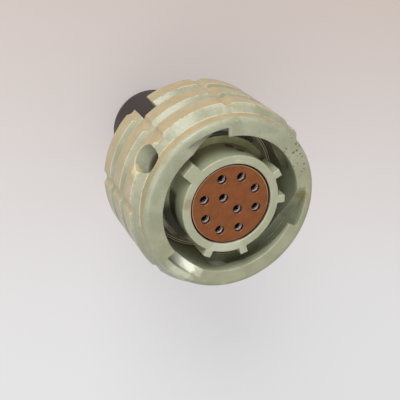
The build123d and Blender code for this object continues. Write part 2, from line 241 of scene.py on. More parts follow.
# %% [markdown]
# A turned piece is a closed outline of radius and height, spun round the axis. Machined corners are
# never quite sharp, and enamel rounds them more, so each corner carries its own rounding. The
# outline keeps only the corners that the shape needs, and the arcs are worked out from them.

# %% Turning
TURN_STEPS = 240
ARC_STEPS = 4
SAME_POINT = 1e-7


def rounded(corners, arc_steps):
    """The closed outline through corners of (radius, height, rounding), with those arcs put in."""
    outline = []
    for index, (radius, height, rounding) in enumerate(corners):
        here = Vector((radius, height))
        if rounding == 0:
            outline.append(here)
            continue
        back_way = (Vector(corners[index - 1][:2]) - here).normalized()
        on_way = (Vector(corners[(index + 1) % len(corners)][:2]) - here).normalized()
        half = back_way.angle(on_way) / 2
        centre = here + (back_way + on_way).normalized() * rounding / sin(half)
        spoke = here + back_way * rounding / tan(half) - centre
        turn = (pi - 2 * half) * (1 if back_way.cross(on_way) > 0 else -1)
        for step in range(arc_steps + 1):
            outline.append(centre + Matrix.Rotation(-turn * step / arc_steps, 2) @ spoke)
    return outline


def turned(name, corners, steps=TURN_STEPS, arc_steps=ARC_STEPS):
    """A closed mesh turned from such corners, given in metres."""
    outline = rounded(corners, arc_steps)
    shape = bmesh.new()
    rings = []
    for step in range(steps):
        angle = 2 * pi * step / steps
        rings.append([shape.verts.new((p.x * cos(angle), p.x * sin(angle), p.y)) for p in outline])
    for step in range(steps):
        here, beyond = rings[step], rings[(step + 1) % steps]
        for index in range(len(outline)):
            after = (index + 1) % len(outline)
            shape.faces.new((here[index], beyond[index], beyond[after], here[after]))
    bmesh.ops.remove_doubles(shape, verts=shape.verts, dist=SAME_POINT)
    bmesh.ops.recalc_face_normals(shape, faces=shape.faces)
    return new_piece(name, shape)


print("a turned piece has", TURN_STEPS, "steps round the axis")

# %% [markdown]
# The nut's blank is turned first: a rim with a large rounding at its front, a cone up to the ribs,
# two grooves between three ribs, and inside a bore, a flange and a wider skirt.

# %% Nut blank
RIM_R = 12.3 * MM
RIM_LENGTH = 1.9 * MM
RIM_ROUND = 0.7 * MM
CONE_LENGTH = 1.3 * MM
RIB_LENGTH = 2.7 * MM
RIB_COUNT = 3
GROOVE_LENGTH = 1.75 * MM
GROOVE_DEPTH = 0.75 * MM
GROOVE_FLANK = 0.75 * MM
NUT_BORE_R = 9.75 * MM
NUT_SKIRT_BORE_R = 10.5 * MM
FLANGE_THICKNESS = 2.0 * MM
FLANGE_CLEARANCE = 0.03 * MM
PAINT_ROUND = 0.14 * MM
RUNNING_FIT = 0.06 * MM
BODY_R = 7.3 * MM

flange_top = washer_low.z - FLANGE_CLEARANCE
corners = [
    (NUT_BORE_R, FACE, PAINT_ROUND),
    (RIM_R, FACE, RIM_ROUND),
    (RIM_R, FACE - RIM_LENGTH, PAINT_ROUND),
]
level = FACE - RIM_LENGTH - CONE_LENGTH
corners.append((RIB_R, level, PAINT_ROUND))
for _ in range(RIB_COUNT - 1):
    rib_end = level - RIB_LENGTH
    groove_end = rib_end - GROOVE_LENGTH
    corners.append((RIB_R, rib_end, PAINT_ROUND))
    corners.append((RIB_R - GROOVE_DEPTH, rib_end - GROOVE_FLANK, PAINT_ROUND / 2))
    corners.append((RIB_R - GROOVE_DEPTH, groove_end + GROOVE_FLANK, PAINT_ROUND / 2))
    corners.append((RIB_R, groove_end, PAINT_ROUND))
    level = groove_end
corners += [
    (RIB_R, nut_low.z, PAINT_ROUND),
    (NUT_SKIRT_BORE_R, nut_low.z, PAINT_ROUND),
    (NUT_SKIRT_BORE_R, flange_top - FLANGE_THICKNESS, PAINT_ROUND),
    (BODY_R + RUNNING_FIT, flange_top - FLANGE_THICKNESS, 0),
    (BODY_R + RUNNING_FIT, flange_top, 0),
    (NUT_BORE_R, flange_top, PAINT_ROUND),
]
nut = turned("nut_painted", corners)
print("nut blank", len(nut.data.polygons), "faces")

# %% [markdown]
# What is milled into the nut repeats round its axis: eight finger notches, and three bayonet ways
# that each have an entry with a ramp, a helical slot and a window at its end. Geometry Nodes suit
# that: the cutters are made once, copied round the axis by count and angle, and taken out of the
# blank in one Boolean. The first group does the copying.

# %% Group: copies round the axis
ring_tree, given, result = new_group(
    "GeometryNodeTree",
    "copies_round_axis",
    [
        ("Geometry", "NodeSocketGeometry", None),
        ("Count", "NodeSocketInt", 8),
        ("First Angle", "NodeSocketFloat", 0.0),
        ("Step Angle", "NodeSocketFloat", 0.5),
    ],
    [("Geometry", "NodeSocketGeometry")],
)
points = add(ring_tree, "GeometryNodePoints", {"Count": given["Count"]})
number = add(ring_tree, "GeometryNodeInputIndex").outputs[0]
angle = maths(ring_tree, "MULTIPLY", number, given["Step Angle"])
angle = maths(ring_tree, "ADD", angle, given["First Angle"])
turn = add(ring_tree, "ShaderNodeCombineXYZ", {"Z": angle})
copies = add(
    ring_tree,
    "GeometryNodeInstanceOnPoints",
    {"Points": points.outputs[0], "Instance": given["Geometry"], "Rotation": turn.outputs[0]},
)
solid_copies = add(ring_tree, "GeometryNodeRealizeInstances", {"Geometry": copies.outputs[0]})
ring_tree.links.new(solid_copies.outputs[0], result["Geometry"])
print("group", ring_tree.name)

# %% [markdown]
# A bayonet slot is a bar that climbs as it goes round the bore. A straight box with many cuts along
# its length is bent round the axis: its length becomes the angle, and its height grows with it.

# %% Group: bar wrapped round the axis
BAR_CUTS = 40
bar_tree, given, result = new_group(
    "GeometryNodeTree",
    "wrapped_bar",
    [
        ("Inner Radius", "NodeSocketFloat", 0.0),
        ("Outer Radius", "NodeSocketFloat", 0.0),
        ("Start Angle", "NodeSocketFloat", 0.0),
        ("End Angle", "NodeSocketFloat", 1.0),
        ("Start Floor", "NodeSocketFloat", 0.0),
        ("End Floor", "NodeSocketFloat", 0.0),
        ("Height", "NodeSocketFloat", 0.0),
    ],
    [("Geometry", "NodeSocketGeometry")],
)
unit_bar = add(bar_tree, "GeometryNodeMeshCube", {"Size": (1, 1, 1), "Vertices Y": BAR_CUTS})
bar_point = add(bar_tree, "GeometryNodeInputPosition").outputs[0]
corner = add(bar_tree, "ShaderNodeVectorMath", {0: bar_point, 1: (0.5, 0.5, 0.5)}, operation="ADD")
share = add(bar_tree, "ShaderNodeSeparateXYZ", {0: corner.outputs[0]}).outputs


def between(tree, low, high, fraction):
    """The value at that fraction of the way from low to high."""
    span = maths(tree, "SUBTRACT", high, low)
    return maths(tree, "ADD", low, maths(tree, "MULTIPLY", span, fraction))


bar_r = between(bar_tree, given["Inner Radius"], given["Outer Radius"], share[0])
bar_angle = between(bar_tree, given["Start Angle"], given["End Angle"], share[1])
bar_floor = between(bar_tree, given["Start Floor"], given["End Floor"], share[1])
bent = add(bar_tree, "ShaderNodeCombineXYZ", {
    "X": maths(bar_tree, "MULTIPLY", bar_r, maths(bar_tree, "COSINE", bar_angle)),
    "Y": maths(bar_tree, "MULTIPLY", bar_r, maths(bar_tree, "SINE", bar_angle)),
    "Z": maths(bar_tree, "ADD", bar_floor, maths(bar_tree, "MULTIPLY", share[2], given["Height"])),
})
bar = add(bar_tree, "GeometryNodeSetPosition", {"Geometry": unit_bar.outputs[0], "Position": bent.outputs[0]})
bar_tree.links.new(bar.outputs[0], result["Geometry"])
print("group", bar_tree.name)

# %% [markdown]
# The nut's own tree makes its cutters from named sizes and cuts the blank with them. The sizes are
# set on the modifier by each input's identifier, before the object is first evaluated.

# %% Tree: cuts in the nut
NOTCH_WIDTH = 1.7 * MM
NOTCH_DEPTH = 0.42 * MM
NOTCH_R = NOTCH_WIDTH**2 / (8 * NOTCH_DEPTH) + NOTCH_DEPTH / 2
ENTRY_WALL_ANGLE = 54.2
ENTRY_SPAN = 31.5
WAY_OVERLAP_ANGLE = 1
SLOT_END_ANGLE = -12.5
NUT_INPUTS = {
    "Notch Count": 8,
    "Notch Radius": NOTCH_R,
    "Notch Centre Radius": RIB_R - NOTCH_DEPTH + NOTCH_R,
    "First Notch Angle": radians(3.5),
    "Notch Bottom": nut_low.z - 1 * MM,
    "Notch Top": FACE - RIM_LENGTH + 0.5 * MM,
    "Way Count": 3,
    "Way Inner Radius": NUT_BORE_R - 0.5 * MM,
    "Way Outer Radius": NUT_BORE_R + 1.3 * MM,
    "Entry Start": radians(ENTRY_WALL_ANGLE),
    "Entry End": radians(ENTRY_WALL_ANGLE + ENTRY_SPAN),
    "Slot Start": radians(SLOT_END_ANGLE),
    "Slot End": radians(ENTRY_WALL_ANGLE + WAY_OVERLAP_ANGLE),
    "Entry Floor": FACE - 3.25 * MM,
    "Face Level": FACE,
    "Slot Floor": FACE - 4.85 * MM,
    "Slot Width": 2.7 * MM,
    "Entry Height": 4.25 * MM,
    "Window Radius": 1.9 * MM,
    "Window Level": FACE - 3.5 * MM,
    "Window Centre Radius": RIB_R,
    "Skirt Slot Angle": radians(86.2),
    "Skirt Slot Width": 2.4 * MM,
    "Skirt Slot Length": 4.3 * MM,
    "Skirt Level": nut_low.z,
}


def geometry_group(name, sizes, others=(("Finish", "NodeSocketMaterial"),)):
    """A Geometry Nodes group whose inputs are a geometry, these named sizes, and others."""
    inputs = [("Geometry", "NodeSocketGeometry", None)]
    for title, value in sizes.items():
        inputs.append((title, "NodeSocketInt" if isinstance(value, int) else "NodeSocketFloat", value))
    inputs += [(title, socket, None) for title, socket in others]
    return new_group("GeometryNodeTree", name, inputs, [("Geometry", "NodeSocketGeometry")])


nut_tree, given, result = geometry_group("nut_cuts", NUT_INPUTS)


def placed(tree, geometry, x=0.0, z=0.0, rotation=(0, 0, 0)):
    """Geometry turned, then moved out along X and up along Z."""
    spot = add(tree, "ShaderNodeCombineXYZ", {"X": x, "Z": z})
    sockets = {"Geometry": geometry, "Translation": spot.outputs[0], "Rotation": rotation}
    return add(tree, "GeometryNodeTransform", sockets).outputs[0]


def round_axis(tree, geometry, count, first, step):
    """Copies round the axis, by the group above."""
    sockets = {"Geometry": geometry, "Count": count, "First Angle": first, "Step Angle": step}
    return add(tree, "GeometryNodeGroup", sockets, node_tree=ring_tree).outputs[0]


def wrapped_bar(tree, sizes, start, end, low, high, height):
    """One bar by the group above, in the nut's ways, with these of the tree's named inputs."""
    titles = {
        "Inner Radius": "Way Inner Radius",
        "Outer Radius": "Way Outer Radius",
        "Start Angle": start,
        "End Angle": end,
        "Start Floor": low,
        "End Floor": high,
        "Height": height,
    }
    sockets = {name: sizes[title] for name, title in titles.items()}
    return add(tree, "GeometryNodeGroup", sockets, node_tree=bar_tree).outputs[0]


def ended(tree, geometry, finish, into):
    """Every tree ends like this: copies made real, and the finish set."""
    real = add(tree, "GeometryNodeRealizeInstances", {"Geometry": geometry})
    done = add(tree, "GeometryNodeSetMaterial", {"Geometry": real.outputs[0], "Material": finish})
    tree.links.new(done.outputs[0], into["Geometry"])


print("nut tree with", len(NUT_INPUTS), "sizes")

# %% Tree: notches, bayonet ways and skirt slot
WINDOW_REACH = 8 * MM
SLOT_REACH = 6 * MM
NOTCH_STEPS = 48
WINDOW_STEPS = 64
notch_height = maths(nut_tree, "SUBTRACT", given["Notch Top"], given["Notch Bottom"])
notch_middle = maths(nut_tree, "ADD", given["Notch Top"], given["Notch Bottom"])
notch_middle = maths(nut_tree, "MULTIPLY", notch_middle, 0.5)
notch = add(nut_tree, "GeometryNodeMeshCylinder",
            {"Vertices": NOTCH_STEPS, "Radius": given["Notch Radius"], "Depth": notch_height}).outputs[0]
notch = placed(nut_tree, notch, given["Notch Centre Radius"], notch_middle)
notch_step = maths(nut_tree, "DIVIDE", 2 * pi, given["Notch Count"])
notches = round_axis(nut_tree, notch, given["Notch Count"], given["First Notch Angle"], notch_step)

way_step = maths(nut_tree, "DIVIDE", 2 * pi, given["Way Count"])
entry = wrapped_bar(nut_tree, given, "Entry Start", "Entry End", "Entry Floor", "Face Level", "Entry Height")
slot = wrapped_bar(nut_tree, given, "Slot Start", "Slot End", "Slot Floor", "Entry Floor", "Slot Width")
window = add(nut_tree, "GeometryNodeMeshCylinder",
             {"Vertices": WINDOW_STEPS, "Radius": given["Window Radius"], "Depth": WINDOW_REACH})
window = window.outputs[0]
window = placed(nut_tree, window, given["Window Centre Radius"], given["Window Level"], (0, pi / 2, 0))
window = round_axis(nut_tree, window, 1, given["Slot Start"], 0.0)
way = add(nut_tree, "GeometryNodeJoinGeometry")
for piece in (entry, slot, window):
    nut_tree.links.new(piece, way.inputs[0])
ways = round_axis(nut_tree, way.outputs[0], given["Way Count"], 0.0, way_step)

slot_depth = maths(nut_tree, "MULTIPLY", given["Skirt Slot Length"], 2.0)
slot_size = add(nut_tree, "ShaderNodeCombineXYZ",
                {"X": SLOT_REACH, "Y": given["Skirt Slot Width"], "Z": slot_depth})
skirt_slot = add(nut_tree, "GeometryNodeMeshCube", {"Size": slot_size.outputs[0]}).outputs[0]
skirt_slot = placed(nut_tree, skirt_slot, given["Window Centre Radius"], given["Skirt Level"])
skirt_slot = round_axis(nut_tree, skirt_slot, 1, given["Skirt Slot Angle"], 0.0)

cutters = add(nut_tree, "GeometryNodeJoinGeometry")
for piece in (notches, ways, skirt_slot):
    nut_tree.links.new(piece, cutters.inputs[0])
cut = add(nut_tree, "GeometryNodeMeshBoolean",
          {"Mesh 1": given["Geometry"], "Mesh 2": cutters.outputs[0], "Self Intersection": True},
          operation="DIFFERENCE", solver="EXACT")
ended(nut_tree, cut.outputs[0], given["Finish"], result)
print("tree", nut_tree.name, "with", len(nut_tree.nodes), "nodes")

# %% [markdown]
# Thick enamel has no sharp edge anywhere: it pulls back from corners and fills hollows. A Bevel can't
# show that here, because the Boolean leaves slivers beside every cut and a bevel on them tears. So
# the cut nut is remeshed evenly, smoothed a few times, which rounds the edges much as paint does, and
# thinned again where it is flat. Each step is baked into a plain mesh before the next one.

# %% Bake, then round the edges as thick paint does
def set_inputs(modifier, values):
    """Sets a Geometry Nodes modifier's inputs by name, through their identifiers."""
    for item in modifier.node_group.interface.items_tree:
        if item.item_type == "SOCKET" and item.in_out == "INPUT" and item.name in values:
            modifier[item.identifier] = values[item.name]


def baked(piece):
    """Replaces the piece's mesh by the result of its modifiers, and removes them."""
    depsgraph = bpy.context.evaluated_depsgraph_get()
    mesh = bpy.data.meshes.new_from_object(piece.evaluated_get(depsgraph))
    piece.modifiers.clear()
    mesh.name = piece.name
    piece.data = mesh
    return piece


def run_tree(piece, tree, sizes, **others):
    """Runs a Geometry Nodes tree on the piece with these inputs, and bakes the result."""
    modifier = piece.modifiers.new(tree.name, "NODES")
    modifier.node_group = tree
    set_inputs(modifier, {**sizes, **others})
    return baked(piece)


def shaded(piece, smooth):
    """Shades all of the piece's faces smooth or flat."""
    for face in piece.data.polygons:
        face.use_smooth = smooth


def triangles(piece):
    """How many triangles the piece's mesh has."""
    return sum(len(face.vertices) - 2 for face in piece.data.polygons)


def thick_paint(piece, finish, voxel, passes, most):
    """Remeshes the piece evenly, softens its edges, and thins it to that many triangles."""
    remesh = piece.modifiers.new("remesh", "REMESH")
    remesh.mode = "VOXEL"
    remesh.voxel_size = voxel
    baked(piece)
    soft = piece.modifiers.new("soft", "SMOOTH")
    soft.factor = 0.5
    soft.iterations = passes
    baked(piece)
    thin = piece.modifiers.new("thin", "DECIMATE")
    thin.ratio = min(1.0, most / triangles(piece))
    baked(piece)
    shaded(piece, True)
    piece.data.materials.clear()
    piece.data.materials.append(finish)
    return piece


NUT_VOXEL = 0.09 * MM
NUT_PASSES = 4
NUT_TRIANGLES = 185000
nut_enamel = bpy.data.materials.new("nut_enamel")
run_tree(nut, nut_tree, NUT_INPUTS, Finish=nut_enamel)
thick_paint(nut, nut_enamel, NUT_VOXEL, NUT_PASSES, NUT_TRIANGLES)
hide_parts("coupling_nut")
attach(nut, "nut")
print("nut", triangles(nut), "triangles")

# %% [markdown]
# The shell's front end is what the receptacle slides over: a barrel with one wide key and four
# narrow ones. It is turned, and the keys are small blocks joined to it by a Boolean, because they
# stand at odd angles that follow no rule. It gets the same thick paint as the nut.

# %% Shell blank
BARREL_R = 7.0 * MM
BARREL_WALL = 1.2 * MM
BARREL_FACE = shell_high.z
BARREL_BORE_R = BARREL_R - BARREL_WALL
SHOULDER_TOP = seal_low.z
SHOULDER_LENGTH = 0.8 * MM
SHOULDER_R = 8.15 * MM
SLEEVE_R = 5.75 * MM
SLEEVE_BORE_R = 5.0 * MM
GROOVE_R = 6.7 * MM
INNER_GROOVE_R = 5.3 * MM
INNER_GROOVE_TOP = block_low.z - 8 * MM
INNER_GROOVE_LENGTH = 0.63 * MM
EDGE_ROUND = 0.1 * MM
SHOULDER_ROUND = 0.08 * MM

shell = turned("shell_painted", [
    (SLEEVE_BORE_R, shell_low.z, 0),
    (SLEEVE_R, shell_low.z, EDGE_ROUND),
    (SLEEVE_R, cap_high.z, 0),
    (BODY_R, cap_high.z, EDGE_ROUND),
    (BODY_R, ring_low.z, 0),
    (GROOVE_R, ring_low.z, 0),
    (GROOVE_R, ring_high.z, 0),
    (BODY_R, ring_high.z, 0),
    (BODY_R, SHOULDER_TOP - SHOULDER_LENGTH, 0),
    (SHOULDER_R, SHOULDER_TOP - SHOULDER_LENGTH, SHOULDER_ROUND),
    (SHOULDER_R, SHOULDER_TOP, PAINT_ROUND),
    (BARREL_R, SHOULDER_TOP, 0),
    (BARREL_R, BARREL_FACE, EDGE_ROUND),
    (BARREL_BORE_R, BARREL_FACE, EDGE_ROUND),
    (BARREL_BORE_R, block_low.z, 0),
    (SLEEVE_BORE_R, block_low.z, 0),
    (SLEEVE_BORE_R, INNER_GROOVE_TOP, 0),
    (INNER_GROOVE_R, INNER_GROOVE_TOP, 0),
    (INNER_GROOVE_R, INNER_GROOVE_TOP - INNER_GROOVE_LENGTH, 0),
    (SLEEVE_BORE_R, INNER_GROOVE_TOP - INNER_GROOVE_LENGTH, 0),
])
print("shell blank", triangles(shell), "triangles")

# %% Keys on the barrel, and the shell's paint
KEY_ABOVE_SEAL = 0.55 * MM
KEY_LENGTH = BARREL_FACE - seal_high.z - KEY_ABOVE_SEAL
MASTER_ANGLE = 97.0
MASTER_KEY_WIDTH, MASTER_KEY_HEIGHT = 2.1 * MM, 1.55 * MM
KEY_WIDTH, KEY_HEIGHT = 1.1 * MM, 1.0 * MM
KEYS_CLOCKWISE = (109.5, 139.5, 211.0, 252.5)
KEYS = [(MASTER_ANGLE, MASTER_KEY_WIDTH, MASTER_KEY_HEIGHT)]
KEYS += [(MASTER_ANGLE - clockwise, KEY_WIDTH, KEY_HEIGHT) for clockwise in KEYS_CLOCKWISE]
SHELL_VOXEL = 0.1 * MM
SHELL_PASSES = 3
SHELL_TRIANGLES = 120000


def blocks(name, sizes_and_places):
    """Plain blocks in one mesh, as cutters or as blanks."""
    shape = bmesh.new()
    for size, spot in sizes_and_places:
        bmesh.ops.create_cube(shape, matrix=spot @ Matrix.Diagonal((*size, 1)))
    return new_piece(name, shape)


def combined(piece, other, operation):
    """The piece with the other one joined to it or cut out of it. The other one is used up."""
    joining = piece.modifiers.new("joining", "BOOLEAN")
    joining.operation = operation
    joining.object = other
    baked(piece)
    bpy.data.objects.remove(other)
    return piece


key_blocks = []
for angle_deg, width, height in KEYS:
    root = BARREL_R - BARREL_WALL / 2
    reach = BARREL_R + height - root
    spot = Matrix.Translation((root + reach / 2, 0, BARREL_FACE - KEY_LENGTH / 2))
    key_blocks.append(((reach, width, KEY_LENGTH), Matrix.Rotation(radians(angle_deg), 4, "Z") @ spot))
combined(shell, blocks("keys", key_blocks), "UNION")
shell_enamel = bpy.data.materials.new("shell_enamel")
thick_paint(shell, shell_enamel, SHELL_VOXEL, SHELL_PASSES, SHELL_TRIANGLES)
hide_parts("shell")
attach(shell, "connector")
print("shell", triangles(shell), "triangles")

# %% [markdown]
# Ten contacts stand in the insulator: eight on one circle with a wider gap at the master key, and two
# inside it. The same ten places are wanted four times, for the holes in both mouldings, the contacts
# and the hoods round them, so one group makes ten copies of whatever it is given.

# %% Group: the ten contact places
PLACE_INPUTS = {
    "Outer Circle": 3.95 * MM,
    "Inner Circle": 1.4155 * MM,
    "Master Angle": radians(MASTER_ANGLE),
    "First Angle": radians(27.0),
    "Step Angle": radians(42.0),
    "Per Side": 4,
}
ten_tree, given, result = geometry_group("ten_places", PLACE_INPUTS, ())
outer = placed(ten_tree, given["Geometry"], given["Outer Circle"])
inner = placed(ten_tree, given["Geometry"], given["Inner Circle"])
clockwise_first = maths(ten_tree, "SUBTRACT", given["Master Angle"], given["First Angle"])
clockwise_step = maths(ten_tree, "MULTIPLY", given["Step Angle"], -1.0)
other_first = maths(ten_tree, "ADD", given["Master Angle"], given["First Angle"])
all_places = add(ten_tree, "GeometryNodeJoinGeometry")
for copies in (
    round_axis(ten_tree, outer, given["Per Side"], clockwise_first, clockwise_step),
    round_axis(ten_tree, outer, given["Per Side"], other_first, given["Step Angle"]),
    round_axis(ten_tree, inner, 2, given["Master Angle"], pi),
):
    ten_tree.links.new(copies, all_places.inputs[0])
ten_tree.links.new(all_places.outputs[0], result["Geometry"])
print("group", ten_tree.name)

# %% [markdown]
# The front insulator is a round block with ten stepped holes: narrow and lightly countersunk at the face,
# wider behind it for the hoods. The drill is turned once, the group puts it at the ten places, and one
# Boolean drills the block. Its front edge is soft, as on a moulding, by a small rounding in its outline.

# %% Tree: a block drilled at the ten places
drill_sockets = (("Drill", "NodeSocketObject"), ("Finish", "NodeSocketMaterial"))
drill_tree, given, result = geometry_group("drilled_block", PLACE_INPUTS, drill_sockets)


def ten_copies(tree, geometry, sockets):
    """Copies at the ten places, by the group above."""
    links = {"Geometry": geometry, **{title: sockets[title] for title in PLACE_INPUTS}}
    return add(tree, "GeometryNodeGroup", links, node_tree=ten_tree).outputs[0]


drill_shape = add(drill_tree, "GeometryNodeObjectInfo", {"Object": given["Drill"]}).outputs["Geometry"]
drilled = add(drill_tree, "GeometryNodeMeshBoolean",
              {"Mesh 1": given["Geometry"], "Mesh 2": ten_copies(drill_tree, drill_shape, given),
               "Self Intersection": True}, operation="DIFFERENCE", solver="EXACT")
ended(drill_tree, drilled.outputs[0], given["Finish"], result)
print("tree", drill_tree.name)

# %% Both insulators
BLOCK_FACE = block_high.z
HOLE_R = 0.66 * MM
HOLE_EDGE = 0.08 * MM
HOOD_WALL = 0.16 * MM
HOOD_TOP = BLOCK_FACE - 0.4 * MM
SEAT_FIT = 0.02 * MM
SEAT_R = BARREL_BORE_R - SEAT_FIT
FACE_R = BARREL_BORE_R - 0.15 * MM
FACE_STEP = 0.7 * MM
FACE_ROUND = 0.06 * MM
TAIL_R = 0.65 * MM
rear_low, rear_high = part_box("rear_insulator")
HOLE_STEPS = 48


def drilled_block(name, corners, drill_corners, finish):
    """A turned block with the drill taken out of it at the ten places."""
    block = turned(name, corners)
    drill = turned("drill", drill_corners, HOLE_STEPS)
    run_tree(block, drill_tree, PLACE_INPUTS, Drill=drill, Finish=finish)
    bpy.data.objects.remove(drill)
    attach(block, "connector")
    return block


brown_moulding = bpy.data.materials.new("brown_moulding")
hood_hole_r = HOLE_R + HOOD_WALL + SEAT_FIT
front_block = drilled_block(
    "insulator_front_moulding",
    [
        (0, block_low.z, 0),
        (SEAT_R, block_low.z, 0),
        (SEAT_R, BLOCK_FACE - FACE_STEP, 0),
        (FACE_R, BLOCK_FACE - FACE_STEP, 0),
        (FACE_R, BLOCK_FACE, FACE_ROUND),
        (0, BLOCK_FACE, 0),
    ],
    [
        (0, block_low.z - MM, 0),
        (hood_hole_r, block_low.z - MM, 0),
        (hood_hole_r, HOOD_TOP, 0),
        (HOLE_R, HOOD_TOP, 0),
        (HOLE_R, BLOCK_FACE - HOLE_EDGE, 0),
        (HOLE_R + 2 * HOLE_EDGE, BLOCK_FACE + HOLE_EDGE, 0),
        (0, BLOCK_FACE + HOLE_EDGE, 0),
    ],
    brown_moulding,
)
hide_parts("front_insulator")
rear_block = drilled_block(
    "insulator_rear_moulding",
    [
        (0, rear_low.z, 0),
        (SLEEVE_BORE_R - SEAT_FIT, rear_low.z, EDGE_ROUND),
        (SLEEVE_BORE_R - SEAT_FIT, rear_high.z, 0),
        (0, rear_high.z, 0),
    ],
    [
        (0, rear_low.z - MM, 0),
        (TAIL_R + SEAT_FIT, rear_low.z - MM, 0),
        (TAIL_R + SEAT_FIT, rear_high.z + MM, 0),
        (0, rear_high.z + MM, 0),
    ],
    brown_moulding,
)
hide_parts("rear_insulator")
for block in (front_block, rear_block):
    shaded(block, False)
print("insulators", triangles(front_block), triangles(rear_block), "triangles")

# %% [markdown]
# A socket contact is turned from brass rod and plated: a bore with two slotted tines at the front, a collar
# that stops it in the insulator, and a solder cup at the rear. A thin steel hood with a rolled lip stands
# round the tines, and the bright crescent in each hole is a painted lit band just below that lip. Both are
# made once and set in their ten places by the same group.

# %% Tree: a set of ten
set_tree, given, result = geometry_group("set_of_ten", PLACE_INPUTS)
ended(set_tree, ten_copies(set_tree, given["Geometry"], given), given["Finish"], result)


def set_of_ten(piece, finish, node_name):
    """Makes the piece ten, in the contact places, instead of the ten CAD nodes of that name."""
    run_tree(piece, set_tree, PLACE_INPUTS, Finish=finish)
    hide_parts(*[f"{node_name}_{number}" for number in range(1, 11)])
    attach(piece, "connector")
    print(piece.name, triangles(piece), "triangles")


print("tree", set_tree.name)

# %% Contacts and hoods
TINE_R = 0.64 * MM
PIN_BORE_R = 0.5 * MM
TINE_TOP = BLOCK_FACE - 0.95 * MM
PIN_BORE_END = TINE_TOP - 6 * MM
HOOD_END = HOOD_TOP - 6.2 * MM
TAIL_END = rear_low.z - 3.5 * MM
CUP_R = 0.47 * MM
CUP_TOP = TAIL_END + 2.6 * MM
CUP_OPEN = 1.6 * MM
TINE_SLOT = (0.2 * MM, 4.6 * MM)
TAIL_ROUND = 0.05 * MM
COLLAR_ROUND = 0.04 * MM
TINE_ROUND = 0.06 * MM
HOOD_LIP_ROUND = 0.08 * MM
CONTACT_STEPS = 40

contact = turned("contact_set", [
    (0, CUP_TOP, 0),
    (CUP_R, CUP_TOP, 0),
    (CUP_R, TAIL_END, TAIL_ROUND),
    (TAIL_R, TAIL_END, TAIL_ROUND),
    (TAIL_R, block_low.z, 0),
    (HOLE_R + HOOD_WALL, block_low.z, COLLAR_ROUND),
    (HOLE_R + HOOD_WALL, HOOD_END, COLLAR_ROUND),
    (TINE_R, HOOD_END, 0),
    (TINE_R, TINE_TOP, TINE_ROUND),
    (PIN_BORE_R, TINE_TOP, TINE_ROUND),
    (PIN_BORE_R, PIN_BORE_END, 0),
    (0, PIN_BORE_END, 0),
], CONTACT_STEPS)
slot_width, slot_length = TINE_SLOT
combined(contact, blocks("contact_cuts", [
    ((4 * TINE_R, slot_width, 2 * slot_length), Matrix.Translation((0, 0, TINE_TOP))),
    ((2 * TAIL_R, 4 * TAIL_R, 2 * CUP_OPEN), Matrix.Translation((TAIL_R, 0, TAIL_END))),
]), "DIFFERENCE")
plated_brass = bpy.data.materials.new("plated_brass")
set_of_ten(contact, plated_brass, "contact")

hood = turned("hood_set", [
    (HOLE_R, HOOD_END, 0),
    (HOLE_R + HOOD_WALL, HOOD_END, 0),
    (HOLE_R + HOOD_WALL, HOOD_TOP, TINE_ROUND),
    (HOLE_R, HOOD_TOP, HOOD_LIP_ROUND),
], CONTACT_STEPS)
bright_plate = bpy.data.materials.new("bright_plate")
set_of_ten(hood, bright_plate, "contact_hood")

# %% [markdown]
# The wave spring is a flat steel strip bent into three waves, which follow a plain cosine round the axis. So
# a flat ring is turned, and a small tree lifts each point by the wave at its angle. When the nut is drawn
# forward the real spring flattens against the shoulder.

# %% Tree: a ring bent into waves
SPRING_INPUTS = {"Waves": 3, "Swing": 0.54 * MM, "Crest Angle": radians(170.0)}
wave_tree, given, result = geometry_group("ring_in_waves", SPRING_INPUTS)
strip_point = add(wave_tree, "GeometryNodeInputPosition").outputs[0]
spot = add(wave_tree, "ShaderNodeSeparateXYZ", {0: strip_point}).outputs
turn = maths(wave_tree, "SUBTRACT", maths(wave_tree, "ARCTAN2", spot[1], spot[0]), given["Crest Angle"])
lift = maths(wave_tree, "COSINE", maths(wave_tree, "MULTIPLY", turn, given["Waves"]))
lift = add(wave_tree, "ShaderNodeCombineXYZ", {"Z": maths(wave_tree, "MULTIPLY", lift, given["Swing"])})
waved = add(wave_tree, "GeometryNodeSetPosition", {"Geometry": given["Geometry"], "Offset": lift.outputs[0]})
ended(wave_tree, waved.outputs[0], given["Finish"], result)
print("tree", wave_tree.name)

# %% Wave spring
SPRING_STRIP = 0.3 * MM
SPRING_WIDTH = 1.4 * MM
SPRING_ROUND = 0.04 * MM
spring_low, spring_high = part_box("wave_spring")
strip_low = (spring_low.z + spring_high.z - SPRING_STRIP) / 2
strip_high = strip_low + SPRING_STRIP
spring_inner = BODY_R + RUNNING_FIT
spring_outer = spring_inner + SPRING_WIDTH
spring = turned("wave_spring_strip", [
    (spring_inner, strip_low, SPRING_ROUND),
    (spring_outer, strip_low, SPRING_ROUND),
    (spring_outer, strip_high, SPRING_ROUND),
    (spring_inner, strip_high, SPRING_ROUND),
])
drawn_steel = bpy.data.materials.new("drawn_steel")
run_tree(spring, wave_tree, SPRING_INPUTS, Finish=drawn_steel)
shaded(spring, True)
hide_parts("wave_spring")
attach(spring, "connector")
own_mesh(spring)
print("wave spring", triangles(spring), "triangles")

# %% [markdown]
# The cap is one dark moulding, pushed over the rear sleeve. A turned outline gives its rounded end,
# its thin wall and the small roundings of its open rim.

